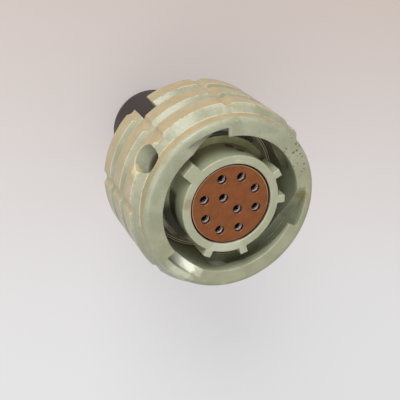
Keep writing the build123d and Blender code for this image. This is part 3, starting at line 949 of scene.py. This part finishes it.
# %% Rear cap
CAP_WALL = 0.7 * MM
CAP_END_WALL = 1.6 * MM
CAP_END_ROUND = 2.6 * MM
CAP_INNER_ROUND = 0.9 * MM
CAP_ARC_STEPS = 10
cap = turned("cap_moulded", [
    (0, 0, 0),
    (CAP_R, 0, CAP_END_ROUND),
    (CAP_R, cap_high.z, 2 * EDGE_ROUND),
    (CAP_R - CAP_WALL, cap_high.z, EDGE_ROUND),
    (CAP_R - CAP_WALL, CAP_END_WALL, CAP_INNER_ROUND),
    (0, CAP_END_WALL, 0),
], arc_steps=CAP_ARC_STEPS)
shaded(cap, True)
cap_moulding = bpy.data.materials.new("cap_moulding")
cap.data.materials.append(cap_moulding)
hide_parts("rear_cap")
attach(cap, "cap")
print("cap", triangles(cap), "triangles")

# %% [markdown]
# Now the finishes. Patterns are written in millimetres and follow the piece round its axis, so the
# first group turns Object coordinates into what the finishes ask for: the place in millimetres, how
# far from the axis it is, at which angle and height, and how much the surface there faces outwards
# or upwards.

# %% Group: places and directions on a round piece
place_tree, given, result = new_group(
    "ShaderNodeTree",
    "round_piece",
    [("Object", "NodeSocketVector", None), ("Normal", "NodeSocketVector", None),
     ("Towards", "NodeSocketFloat", 70.0)],
    [("Place", "NodeSocketVector"), ("Radius", "NodeSocketFloat"), ("Angle", "NodeSocketFloat"),
     ("Height", "NodeSocketFloat"), ("Outward", "NodeSocketFloat"), ("Upward", "NodeSocketFloat"),
     ("Side", "NodeSocketFloat")],
)
in_mm = add(place_tree, "ShaderNodeVectorMath", {0: given["Object"], "Scale": 1 / MM}, operation="SCALE")
in_mm = in_mm.outputs[0]
axes = add(place_tree, "ShaderNodeSeparateXYZ", {0: in_mm}).outputs
flat = add(place_tree, "ShaderNodeCombineXYZ", {0: axes[0], 1: axes[1]}).outputs[0]
radius = add(place_tree, "ShaderNodeVectorMath", {0: flat}, operation="LENGTH").outputs["Value"]
spoke = add(place_tree, "ShaderNodeVectorMath", {0: flat}, operation="NORMALIZE").outputs[0]
outward = add(place_tree, "ShaderNodeVectorMath", {0: spoke, 1: given["Normal"]}, operation="DOT_PRODUCT")
angle = maths(place_tree, "MULTIPLY", maths(place_tree, "ARCTAN2", axes[1], axes[0]), 180 / pi)
apart = maths(place_tree, "MULTIPLY", maths(place_tree, "SUBTRACT", angle, given["Towards"]), pi / 180)
for title, value in (
    ("Place", in_mm), ("Radius", radius), ("Angle", angle), ("Height", axes[2]),
    ("Outward", outward.outputs["Value"]),
    ("Upward", add(place_tree, "ShaderNodeSeparateXYZ", {0: given["Normal"]}).outputs[2]),
    ("Side", maths(place_tree, "COSINE", apart)),
):
    place_tree.links.new(value, result[title])
print("group", place_tree.name)

# %% [markdown]
# Four more groups are shared by the finishes. Mottle is the slow drift between two colours that aged paint
# and mouldings have. Specks are scattered grains or chips. Sharp edges and hollows are found by how sharply
# the mesh bends, and the finishes paint highlights on the edges and shade in the hollows. A spot is one stain
# with a ragged rim.

# %% Group: mottle
mottle_tree, given, result = new_group(
    "ShaderNodeTree",
    "mottle",
    [("Place", "NodeSocketVector", None), ("Patch Size", "NodeSocketFloat", 3.0),
     ("First", "NodeSocketColor", (0.3, 0.3, 0.3, 1)), ("Second", "NodeSocketColor", (0.5, 0.5, 0.5, 1)),
     ("Roughness Low", "NodeSocketFloat", 0.35), ("Roughness High", "NodeSocketFloat", 0.5)],
    [("Color", "NodeSocketColor"), ("Roughness", "NodeSocketFloat"), ("Value", "NodeSocketFloat")],
)
drift = add(mottle_tree, "ShaderNodeTexNoise",
            {"Vector": given["Place"], "Scale": maths(mottle_tree, "DIVIDE", 1.0, given["Patch Size"]),
             "Detail": 5.0, "Roughness": 0.62})
drift_value = ramp(mottle_tree, drift.outputs[0], 0.36, 0.64)
mottle_tree.links.new(drift_value, result["Value"])
drift_colour = blend_colours(mottle_tree, drift_value, given["First"], given["Second"])
drift_roughness = between(mottle_tree, given["Roughness Low"], given["Roughness High"], drift_value)
mottle_tree.links.new(drift_colour, result["Color"])
mottle_tree.links.new(drift_roughness, result["Roughness"])
print("group", mottle_tree.name)

# %% Group: specks
speck_tree, given, result = new_group(
    "ShaderNodeTree",
    "specks",
    [("Place", "NodeSocketVector", None), ("Spacing", "NodeSocketFloat", 0.5),
     ("Size", "NodeSocketFloat", 0.3), ("Share", "NodeSocketFloat", 0.3)],
    [("Mask", "NodeSocketFloat")],
)
cells = add(speck_tree, "ShaderNodeTexVoronoi",
            {"Vector": given["Place"], "Scale": maths(speck_tree, "DIVIDE", 1.0, given["Spacing"])})
lot = add(speck_tree, "ShaderNodeSeparateColor", {0: cells.outputs["Color"]}).outputs[0]
chosen = maths(speck_tree, "LESS_THAN", lot, given["Share"])
grain_edge = maths(speck_tree, "MULTIPLY", given["Size"], 0.5)
grain = ramp(speck_tree, cells.outputs["Distance"], given["Size"], grain_edge)
speck_tree.links.new(maths(speck_tree, "MULTIPLY", chosen, grain), result["Mask"])
print("group", speck_tree.name)

# %% Group: sharp edges and hollows
edge_tree, given, result = new_group(
    "ShaderNodeTree",
    "worn_edges",
    [("Place", "NodeSocketVector", None), ("From", "NodeSocketFloat", 0.53), ("To", "NodeSocketFloat", 0.58),
     ("Patch Size", "NodeSocketFloat", 1.0), ("Broken", "NodeSocketFloat", 0.5)],
    [("Mask", "NodeSocketFloat"), ("Hollow", "NodeSocketFloat")],
)
bend = add(edge_tree, "ShaderNodeNewGeometry").outputs["Pointiness"]
patches = add(edge_tree, "ShaderNodeTexNoise",
              {"Vector": given["Place"], "Scale": maths(edge_tree, "DIVIDE", 1.0, given["Patch Size"]),
               "Detail": 3.0}).outputs[0]
kept = between(edge_tree, 1.0, ramp(edge_tree, patches, 0.42, 0.6), given["Broken"])
sharp = ramp(edge_tree, bend, given["From"], given["To"])
edge_tree.links.new(maths(edge_tree, "MULTIPLY", sharp, kept), result["Mask"])
edge_tree.links.new(ramp(edge_tree, bend, 0.47, 0.4), result["Hollow"])
print("group", edge_tree.name)

# %% Group: one ragged spot
spot_tree, given, result = new_group(
    "ShaderNodeTree",
    "ragged_spot",
    [("Place", "NodeSocketVector", None), ("Centre", "NodeSocketVector", None),
     ("Radius", "NodeSocketFloat", 1.0), ("Ragged", "NodeSocketFloat", 0.5)],
    [("Mask", "NodeSocketFloat")],
)
away = add(spot_tree, "ShaderNodeVectorMath", {0: given["Place"], 1: given["Centre"]}, operation="DISTANCE")
frayed = add(spot_tree, "ShaderNodeTexNoise", {"Vector": given["Place"], "Scale": 1.6, "Detail": 4.0})
fray = maths(spot_tree, "SUBTRACT", frayed.outputs[0], 0.5)
fray = maths(spot_tree, "MULTIPLY", fray, given["Ragged"])
reach = maths(spot_tree, "ADD", maths(spot_tree, "DIVIDE", away.outputs["Value"], given["Radius"]), fray)
spot_tree.links.new(ramp(spot_tree, reach, 1.0, 0.45), result["Mask"])
print("group", spot_tree.name)

# %% [markdown]
# A finish is built up as paint is: a first mottled colour, then other colours laid over it, each through a
# mask. A mask is a product of simple ones, such as how high a point lies, how far from the axis, which way
# the surface faces there, or whether noise puts a speck there. One small class keeps the material's tree, the
# places on the piece and the colour so far, so a layer takes one line. Side is 1 towards a given direction,
# by default the side that the window lamp lights, and -1 opposite it. Several layers use it to paint light or
# shade.

# %% Helper for finishes
LIT_SIDE = 70.0
EDGE_BEND = (0.53, 0.62)
EDGE_PATCH = 1.5


class Finish:
    """A material in the making: masks from the places on a piece, and colours laid over each other."""

    def __init__(self, material, towards=LIT_SIDE):
        material.use_nodes = True
        self.material = material
        self.tree = material.node_tree
        self.shader = self.tree.nodes["Principled BSDF"].inputs
        self.colour = None
        self.roughness = None
        where = add(self.tree, "ShaderNodeTexCoord").outputs
        sockets = {"Object": where["Object"], "Normal": where["Normal"], "Towards": towards}
        self.place = add(self.tree, "ShaderNodeGroup", sockets, node_tree=place_tree).outputs

    def group(self, shared_tree, sockets):
        """The outputs of a shared group, placed on the piece."""
        sockets = {"Place": self.place["Place"], **sockets}
        return add(self.tree, "ShaderNodeGroup", sockets, node_tree=shared_tree).outputs

    def mottle(self, patch_size, first, second, low=0.35, high=0.5):
        """Patches of two colours, and of a roughness between low and high."""
        return self.group(mottle_tree, {
            "Patch Size": patch_size,
            "First": screen_colour(*first),
            "Second": screen_colour(*second),
            "Roughness Low": low,
            "Roughness High": high,
        })

    def base(self, *mottle):
        """The first layer, with its colour and roughness."""
        tone = self.mottle(*mottle)
        self.colour = tone["Color"]
        self.roughness = tone["Roughness"]

    def over(self, colour, *masks):
        """Lays a colour over the one so far, where all masks are."""
        if not isinstance(colour, bpy.types.NodeSocket):
            colour = screen_colour(*colour)
        self.colour = blend_colours(self.tree, self.times(*masks), self.colour, colour)

    def specks(self, spacing, size, share):
        """A mask of specks in cells that wide, in that share of the cells."""
        return self.group(speck_tree, {"Spacing": spacing, "Size": size, "Share": share})["Mask"]

    def spot(self, centre, radius, ragged):
        """A mask of one ragged spot, its centre and radius in millimetres."""
        return self.group(spot_tree, {"Centre": centre, "Radius": radius, "Ragged": ragged})["Mask"]

    def marks(self, marks, ragged):
        """Lays spots over the colour, each with its centre, radius, strength and colour."""
        for centre, radius, strength, colour in marks:
            self.over(colour, self.spot(centre, radius, ragged), strength)

    def edges(self, broken):
        """Masks of the sharp edges, which the noise breaks up, and of the hollows."""
        low, high = EDGE_BEND
        sockets = {"From": low, "To": high, "Patch Size": EDGE_PATCH, "Broken": broken}
        return self.group(edge_tree, sockets)

    def noise(self, size, detail=2.0, place=None):
        """Plain noise with features of about that size in millimetres."""
        if place is None:
            place = self.place["Place"]
        sockets = {"Vector": place, "Scale": 1 / size, "Detail": detail}
        return add(self.tree, "ShaderNodeTexNoise", sockets).outputs[0]

    def lines(self, stretch, size, detail):
        """Noise drawn out into lines round the axis."""
        along = self.times(self.place["Angle"], stretch)
        sockets = {0: along, 1: self.place["Radius"], 2: self.place["Height"]}
        return self.noise(size, detail, add(self.tree, "ShaderNodeCombineXYZ", sockets).outputs[0])

    def step(self, value, start, end):
        """A mask that is 0 where the value is at start and 1 where it is at end."""
        return ramp(self.tree, value, start, end)

    def by(self, name, start, end):
        """The same mask for one of the place's measures."""
        return self.step(self.place[name], start, end)

    def near(self, name, middle, outer, inner):
        """A mask of where that measure is near the middle: 0 from outer on, 1 within inner."""
        off = maths(self.tree, "ABSOLUTE", maths(self.tree, "SUBTRACT", self.place[name], middle))
        return self.step(off, outer, inner)

    def joined(self, operation, values):
        """All values joined by one operation."""
        total = values[0]
        for value in values[1:]:
            total = maths(self.tree, operation, total, value)
        return total

    def times(self, *masks):
        """The product of the masks: where all of them are."""
        return self.joined("MULTIPLY", masks)

    def either(self, *masks):
        """The largest of the masks: where any of them is."""
        return self.joined("MAXIMUM", masks)

    def plus(self, *values):
        """The sum of the values."""
        return self.joined("ADD", values)

    def done(self, height, depth, fixed=()):
        """Feeds the shader, with a bump that many millimetres deep, and sets its other inputs."""
        sockets = {"Height": height, "Strength": 1.0, "Distance": depth * MM}
        bump = add(self.tree, "ShaderNodeBump", sockets).outputs[0]
        for name, value in (("Base Color", self.colour), ("Roughness", self.roughness), ("Normal", bump)):
            self.tree.links.new(value, self.shader[name])
        for name, value in dict(fixed).items():
            self.shader[name].default_value = value
        print(self.material.name, len(self.tree.nodes), "nodes")


print("edges from", *EDGE_BEND, "lamp side at", LIT_SIDE, "degrees")

# %% [markdown]
# The nut's enamel was once one grey-green. Handling and sun have turned the ribs' outward faces and the rim's
# side beige, while the cone and the face stayed green. So the colour follows the shape: a mask of what faces
# outwards, on the ribs' tops and the rim only, weighted towards the lit side, which also makes that side a
# little lighter as painted light. Away from the lit side the rim gets painted shade, and it is duller in one
# patch of its own.

# %% Nut enamel: green, and beige where it is handled
FACE_MM = FACE / MM
RIB_MM = RIB_R / MM
RIM_FOOT_MM = FACE_MM - RIM_LENGTH / MM
CONE_TOP_MM = RIM_FOOT_MM - CONE_LENGTH / MM
RIM_PATCH = (-6.39, 10.74, 34.77)
finish = Finish(nut_enamel)
finish.base(3.5, (156, 159, 133), (173, 175, 151), 0.3, 0.42)
beige = finish.mottle(2.2, (178, 163, 124), (189, 174, 136))["Color"]
tilt = maths(finish.tree, "ABSOLUTE", finish.place["Upward"])
faces_out = finish.times(finish.step(tilt, 0.5, 0.25), finish.by("Outward", 0.1, 0.4))
on_ribs = finish.by("Radius", RIB_MM - 0.66, RIB_MM - 0.52)
on_rim = finish.by("Height", RIM_FOOT_MM - 0.1, RIM_FOOT_MM + 0.1)
# Weights the beige towards the lit side, partly as painted light.
lit_side_weight = between(finish.tree, 0.3, 1.0, finish.by("Side", -0.3, 0.7))
patchy = between(finish.tree, 0.7, 0.95, finish.step(finish.noise(1.4, 4.0), 0.25, 0.55))
handled = finish.times(faces_out, finish.either(on_ribs, on_rim), lit_side_weight, patchy)
finish.over(beige, handled)
# Painted shade: the rim's side is darker away from the lamp.
finish.over((160, 155, 118), on_rim, faces_out, finish.by("Side", 0.75, 0.2), 0.7)
finish.over((146, 140, 96), on_rim, faces_out, finish.spot(RIM_PATCH, 5.0, 0.5), 0.55)
print("cone from", round(RIM_FOOT_MM, 2), "to", round(CONE_TOP_MM, 2), "mm")

# %% [markdown]
# The grooves between the ribs are beige as well, but paler, and weighted to the lit side like the ribs. Where
# two faces of the nut meet, at the ribs' flanks and at both ends of the cone, a broken cream line on the lit
# side is a painted highlight.

# %% Nut enamel: grooves and painted edge highlights
LINE_EDGE = (0.12, 0.05)
below_cone = finish.by("Height", CONE_TOP_MM, CONE_TOP_MM - 0.2)
in_grooves = finish.times(maths(finish.tree, "SUBTRACT", 1.0, on_ribs), below_cone,
                          finish.by("Outward", 0.1, 0.4))
finish.over((184, 172, 130), in_grooves, lit_side_weight, 0.55)
flank_highlight = finish.times(finish.step(tilt, 0.12, 0.3), finish.step(tilt, 0.68, 0.5),
                          finish.by("Radius", RIB_MM - 0.4, RIB_MM - 0.25))
cone_highlight = finish.times(finish.near("Height", CONE_TOP_MM, *LINE_EDGE),
                         finish.by("Radius", RIB_MM - 0.5, RIB_MM - 0.4))
foot_highlight = finish.times(finish.near("Height", RIM_FOOT_MM, *LINE_EDGE), finish.by("Outward", 0.3, 0.5))
highlight_gaps = finish.step(finish.noise(0.9), 0.3, 0.5)
# Painted highlight: a broken cream line along those edges, on the lit side.
finish.over((226, 218, 188), finish.either(flank_highlight, cone_highlight, foot_highlight),
            finish.by("Side", -0.4, 0.4), highlight_gaps, 0.6)
print("lines at", round(CONE_TOP_MM, 2), "and", round(RIM_FOOT_MM, 2), "mm")

# %% [markdown]
# Smaller marks go over that: the face is yellower opposite the lit side, sharp edges get a faint painted
# highlight, the cone gets painted glints on its grit on the lit side, and dark and pale specks lie all over.

# %% Nut enamel: face, edges, cone and specks
on_face = finish.by("Height", FACE_MM - 0.15, FACE_MM - 0.05)
finish.over((154, 153, 118), on_face, finish.by("Side", 0.75, -0.2), 0.35)
edges = finish.edges(0.3)
# Painted highlight on the sharp edges.
finish.over((216, 212, 186), edges["Mask"], 0.22)
grit = finish.specks(0.16, 0.34, 0.35)
on_cone = finish.times(finish.by("Outward", 0.55, 0.7), finish.by("Outward", 0.9, 0.82),
                       finish.by("Height", RIM_FOOT_MM - 1.4, RIM_FOOT_MM - 1.2),
                       finish.by("Height", RIM_FOOT_MM + 0.1, RIM_FOOT_MM))
# Painted glints: pale grit on the cone, on the lit side.
cone_glints = finish.times(on_cone, finish.by("Side", 0.2, 0.9), grit)
finish.over((226, 226, 214), cone_glints, 0.55)
dark_specks = finish.specks(0.6, 0.16, 0.35)
finish.over((112, 104, 80), dark_specks, 0.4)
finish.over((214, 212, 192), finish.specks(0.45, 0.2, 0.3), 0.2)
print("small marks:", len(finish.tree.nodes), "nodes so far")

# %% [markdown]
# Some marks have their own places in the photograph: pits in the face beside one entry, yellow and
# pale stains on the face and the ramps, and white grit on one ramp. Each stain has a centre and a
# radius in millimetres, a strength and a colour.

# %% Nut enamel: pits, stains and grit in their places
PIT_SPOT = (11.0, -1.5, FACE_MM)
GRIT_SPOT = (-10.3, -0.9, FACE_MM - 1.0)
STAIN_RAGGED = 1.2
STAINS = [
    ((-10.1, -3.2, FACE_MM), 0.95, 0.75, (168, 166, 88)),
    ((-8.6, -4.3, FACE_MM - 1.0), 0.7, 0.6, (172, 172, 96)),
    ((-10.5, -1.6, FACE_MM - 1.0), 3.0, 0.75, (214, 216, 196)),
    ((-9.38, -2.46, 33.8), 1.6, 0.9, (236, 238, 222)),
    ((7.9, -7.2, FACE_MM - 0.6), 1.3, 0.6, (138, 126, 70)),
    ((4.3, -8.9, FACE_MM - 3.2), 0.4, 0.8, (190, 190, 108)),
    ((10.9, 3.6, FACE_MM - 1.0), 1.2, 0.35, (138, 124, 84)),
    ((-5.7, 11.7, FACE_MM - 3.9), 1.25, 0.85, (224, 214, 172)),
]
both_pits = finish.either(finish.specks(0.47, 0.4, 0.4), finish.specks(0.93, 0.3, 0.6))
pits = finish.times(finish.spot(PIT_SPOT, 4.0, 0.8), both_pits, finish.by("Upward", 0.5, 0.8))
finish.over((100, 92, 66), pits, 0.9)
finish.marks(STAINS, STAIN_RAGGED)
ramp_grit = finish.times(finish.spot(GRIT_SPOT, 3.0, 0.6), grit,
                         finish.by("Height", FACE_MM - 0.1, FACE_MM - 0.25), finish.by("Upward", 0.4, 0.7))
finish.over((232, 232, 220), ramp_grit, 0.9)
print("stains:", len(STAINS))

# %% [markdown]
# Inside the nut, what faces the axis or lies in the slots is darker and more olive, with a warm, lighter band
# high up on the lit side, and painted shade deep down in the bore on that side. The hollows get painted shade
# too. A fine orange-peel bump and the dents of the pits finish the enamel.

# %% Nut enamel: inside, hollows and bump
WAY_WALL_MM = 11.2
ENAMEL_COAT = {"Coat Weight": 0.25, "Coat Roughness": 0.2}
faces_axis = finish.times(finish.by("Outward", -0.2, -0.7), finish.by("Height", FACE_MM, FACE_MM - 1.2))
in_slots = finish.times(finish.by("Radius", WAY_WALL_MM, WAY_WALL_MM - 0.1),
                        finish.by("Height", FACE_MM - 1.2, FACE_MM - 2.2))
inside = finish.either(faces_axis, in_slots)
under_bore = finish.by("Radius", WAY_WALL_MM, WAY_WALL_MM - 0.6)
finish.over((110, 114, 90), inside, 0.65)
finish.over((150, 140, 96), finish.by("Height", FACE_MM - 3.0, FACE_MM - 6.5), under_bore, 0.5)
finish.over((180, 164, 128), inside, finish.by("Side", 0.35, 0.7),
            finish.by("Height", FACE_MM - 4.5, FACE_MM - 3.5), 0.8)
# Painted shade deep down in the bore, on the inner wall that the lamp does not reach.
finish.over((66, 54, 42), under_bore, finish.by("Side", 0.1, 0.6),
            finish.by("Height", FACE_MM - 2.2, FACE_MM - 3.4), 0.8)
# Painted shade in the hollows.
finish.over((112, 110, 84), edges["Hollow"], 0.35)
finish.roughness = finish.plus(finish.roughness, finish.times(handled, 0.06),
                               finish.times(dark_specks, 0.2))
peel = finish.noise(0.35, 3.0)
height = finish.plus(finish.times(peel, 0.5), finish.times(pits, -0.8), finish.times(ramp_grit, 0.5),
                     finish.times(cone_glints, 0.2))
finish.done(height, 0.05, ENAMEL_COAT)

# %% [markdown]
# The shell has the same kind of enamel, better kept because the cap and the nut cover it: paler, with a
# painted highlight on its sharp edges such as the keys', painted shade in its hollows, and a few specks and
# marks on its face. The barrel's wall is greener, warmer at its foot on the lit side and painted dark as
# shade low down on the other, and inside its rim, where it meets the insulator, its bore is painted dark as
# shade. The masks of Side turn with the shell's own direction here.

# %% Shell enamel
SHELL_SIDE = 45.0
SHELL_FACE_MM = BARREL_FACE / MM
SHOULDER_MM = SHOULDER_TOP / MM
MARK_RAGGED = 1.0
SHELL_MARKS = [
    ((5.31, 4.56, 30.7), 0.95, 0.9, (48, 44, 34)),
    ((5.94, 3.71, 32.2), 0.8, 0.9, (48, 44, 34)),
    ((-4.14, 4.81, 34.51), 1.1, 0.5, (146, 124, 92)),
    ((-4.86, -4.59, 34.51), 3.2, 0.7, (200, 202, 182)),
]
finish = Finish(shell_enamel, SHELL_SIDE)
finish.base(2.5, (170, 172, 144), (179, 181, 154), 0.32, 0.42)
wall = finish.times(finish.by("Height", SHELL_FACE_MM - 0.12, SHELL_FACE_MM - 0.3),
                    finish.by("Radius", 7.35, 7.15), finish.by("Height", SHOULDER_MM - 0.2, SHOULDER_MM))
finish.over((160, 172, 138), wall, 0.6)
finish.over((176, 170, 132), wall, finish.by("Height", SHELL_FACE_MM - 2.0, SHELL_FACE_MM - 2.4),
            finish.by("Side", 0.5, 0.9), 0.9)
# Painted shade: the bore inside the barrel's rim is dark.
finish.over((64, 40, 32), wall, finish.by("Radius", 6.2, 6.0), 0.9)
edges = finish.edges(0.2)
# Painted highlight on the sharp edges, and painted shade in the hollows.
finish.over((206, 205, 180), edges["Mask"], 0.3)
finish.over((110, 108, 84), edges["Hollow"], 0.4)
finish.over((120, 108, 82), finish.specks(0.5, 0.11, 0.25), 0.45)
# Painted shade low on the barrel's wall, on the side away from the light.
finish.over((42, 34, 26), wall, finish.by("Height", SHELL_FACE_MM - 2.2, SHELL_FACE_MM - 3.2),
            finish.by("Side", 0.2, 0.06), 0.95)
finish.marks(SHELL_MARKS, MARK_RAGGED)
finish.done(finish.noise(0.3, 3.0), 0.008, ENAMEL_COAT)

# %% [markdown]
# The insulators are a filled brown moulding: satin, with a faint granular mottle, and painted dark as shade
# in the holes and on every face that does not face up. Round the front one runs a pale painted highlight on
# the lit side, and outside that a dark line of painted shadow where it meets the barrel. All of it follows
# radius and direction only, so the same finish suits both blocks.

# %% Brown moulding
BLOCK_RIM_MM = (BARREL_R - BARREL_WALL) / MM
finish = Finish(brown_moulding)
finish.base(1.1, (126, 69, 28), (136, 77, 34), 0.38, 0.5)
finish.over((160, 104, 68), finish.specks(0.22, 0.3, 0.3), 0.16)
# Painted highlight: a pale line just inside the front edge, on the lit side.
finish.over((206, 170, 140), finish.by("Radius", BLOCK_RIM_MM - 0.4, BLOCK_RIM_MM - 0.3),
            finish.by("Side", -0.9, 0.2), 0.5)
# Painted shadow: a dark line round the edge, where it meets the barrel.
finish.over((34, 16, 14), finish.by("Radius", BLOCK_RIM_MM - 0.28, BLOCK_RIM_MM - 0.2), 0.95)
# Painted shade on every face that does not face up, the holes' walls most of all.
finish.over((52, 26, 26), finish.by("Upward", 0.8, 0.3), 0.8)
finish.done(finish.noise(0.16, 3.0), 0.006)

# %% [markdown]
# The cap is a soft black-brown plastic, slightly shiny, with fine scratches round it from being pushed
# on and pulled off, and a little pale dust.

# %% Cap moulding
finish = Finish(cap_moulding)
finish.base(4.0, (40, 30, 28), (48, 37, 34), 0.3, 0.42)
scratches = finish.lines(0.05, 0.22, 5.0)
deep_scratches = finish.step(scratches, 0.6, 0.7)
finish.over((120, 112, 110), deep_scratches, 0.12)
finish.over((160, 150, 142), finish.specks(0.6, 0.1, 0.3), 0.4)
finish.roughness = finish.plus(finish.roughness, finish.times(deep_scratches, 0.12))
finish.done(scratches, 0.01, {"Specular IOR Level": 0.3})

# %% [markdown]
# The metals come last. Spring strip and snap rings are drawn steel, brushed along their length, which goes
# round the axis, so the brushing is noise that is stretched by angle. The contacts are plated brass, kept
# dark as painted shade because they sit deep in the holes. The hoods are bright plate, painted dark as shade
# except for a lit band just below the lip, which is the bright crescent in each hole.

# %% Metals
HOOD_MM = HOOD_TOP / MM


def brushed_metal(material, dark, light, low, high):
    """A metal with fine lines that run round the axis, and the noise of those lines."""
    metal = Finish(material)
    metal.base(1.5, dark, light, low, high)
    lines = metal.lines(0.02, 0.1, 4.0)
    metal.over(dark, metal.step(lines, 0.35, 0.65), 0.35)
    return metal, lines


steel, lines = brushed_metal(drawn_steel, (150, 148, 136), (205, 202, 190), 0.22, 0.4)
steel.done(lines, 0.005, {"Metallic": 0.8})
# The contacts' brass is kept dark as painted shade, deep in the holes.
brass, lines = brushed_metal(plated_brass, (96, 80, 58), (140, 122, 88), 0.25, 0.4)
brass.done(lines, 0.005, {"Metallic": 0.9})
plate, lines = brushed_metal(bright_plate, (240, 238, 236), (253, 252, 251), 0.25, 0.4)
lit_band = plate.times(plate.by("Height", HOOD_MM - 0.12, HOOD_MM - 0.22),
                       plate.by("Height", HOOD_MM - 0.62, HOOD_MM - 0.5))
# Painted shade: the hood is dark everywhere but the lit band.
plate.over((40, 24, 26), maths(plate.tree, "SUBTRACT", 1.0, lit_band))
plate.done(lines, 0.005, {"Metallic": 0.1})
for name in ("nut_snap_ring", "insulator_snap_ring"):
    nodes[name].material_slots[0].material = drawn_steel

# %% [markdown]
# Two small pieces deep in the gap still need their finish: the olive rubber seal round the barrel's foot,
# matt, a little dusty and painted darker on one side as shade, and the thrust washer of an amber-brown
# plastic. The washer has rings: a broad brown one, and inside it a dark one between two pale ones, which are
# a painted shadow line between two painted highlights where edges glint in the gap.

# %% Seal and washer
RING_FADE = 0.04
# The two pale rings are painted highlights and the dark ring between them a painted shadow line; the broad
# brown ring is the washer's own colour.
WASHER_RINGS = [
    (10.4, 0.85, (150, 104, 62)),
    (9.3, 0.06, (236, 226, 204)),
    (9.43, 0.05, (44, 32, 24)),
    (9.56, 0.05, (228, 216, 190)),
]


def plain_soft(name, dark, light, low, high, grain_depth, side_shade=0.0, rings=()):
    """A matt finish with mottle, dust, a fine grain, painted shade on one side, and rings of other colours.
    """
    soft = Finish(bpy.data.materials.new(name))
    soft.base(1.2, dark, light, low, high)
    soft.over((150, 148, 120), soft.specks(0.35, 0.2, 0.3), 0.2)
    # Painted shade on one side.
    soft.over((42, 34, 26), soft.by("Side", 0.35, 0.1), soft.by("Side", -0.7, -0.5), side_shade)
    for radius, half_width, ring_colour in rings:
        soft.over(ring_colour, soft.near("Radius", radius, half_width + RING_FADE, half_width), 0.9)
    soft.done(soft.noise(0.12, 3.0), grain_depth)
    return soft.material


olive_rubber = plain_soft("olive_rubber", (160, 162, 120), (178, 178, 136), 0.55, 0.75, 0.01, 0.9)
amber_plastic = plain_soft("amber_plastic", (140, 130, 84), (160, 150, 100), 0.4, 0.55, 0.006,
                           rings=WASHER_RINGS)
nodes["shell_seal"].material_slots[0].material = olive_rubber
nodes["thrust_washer"].material_slots[0].material = amber_plastic
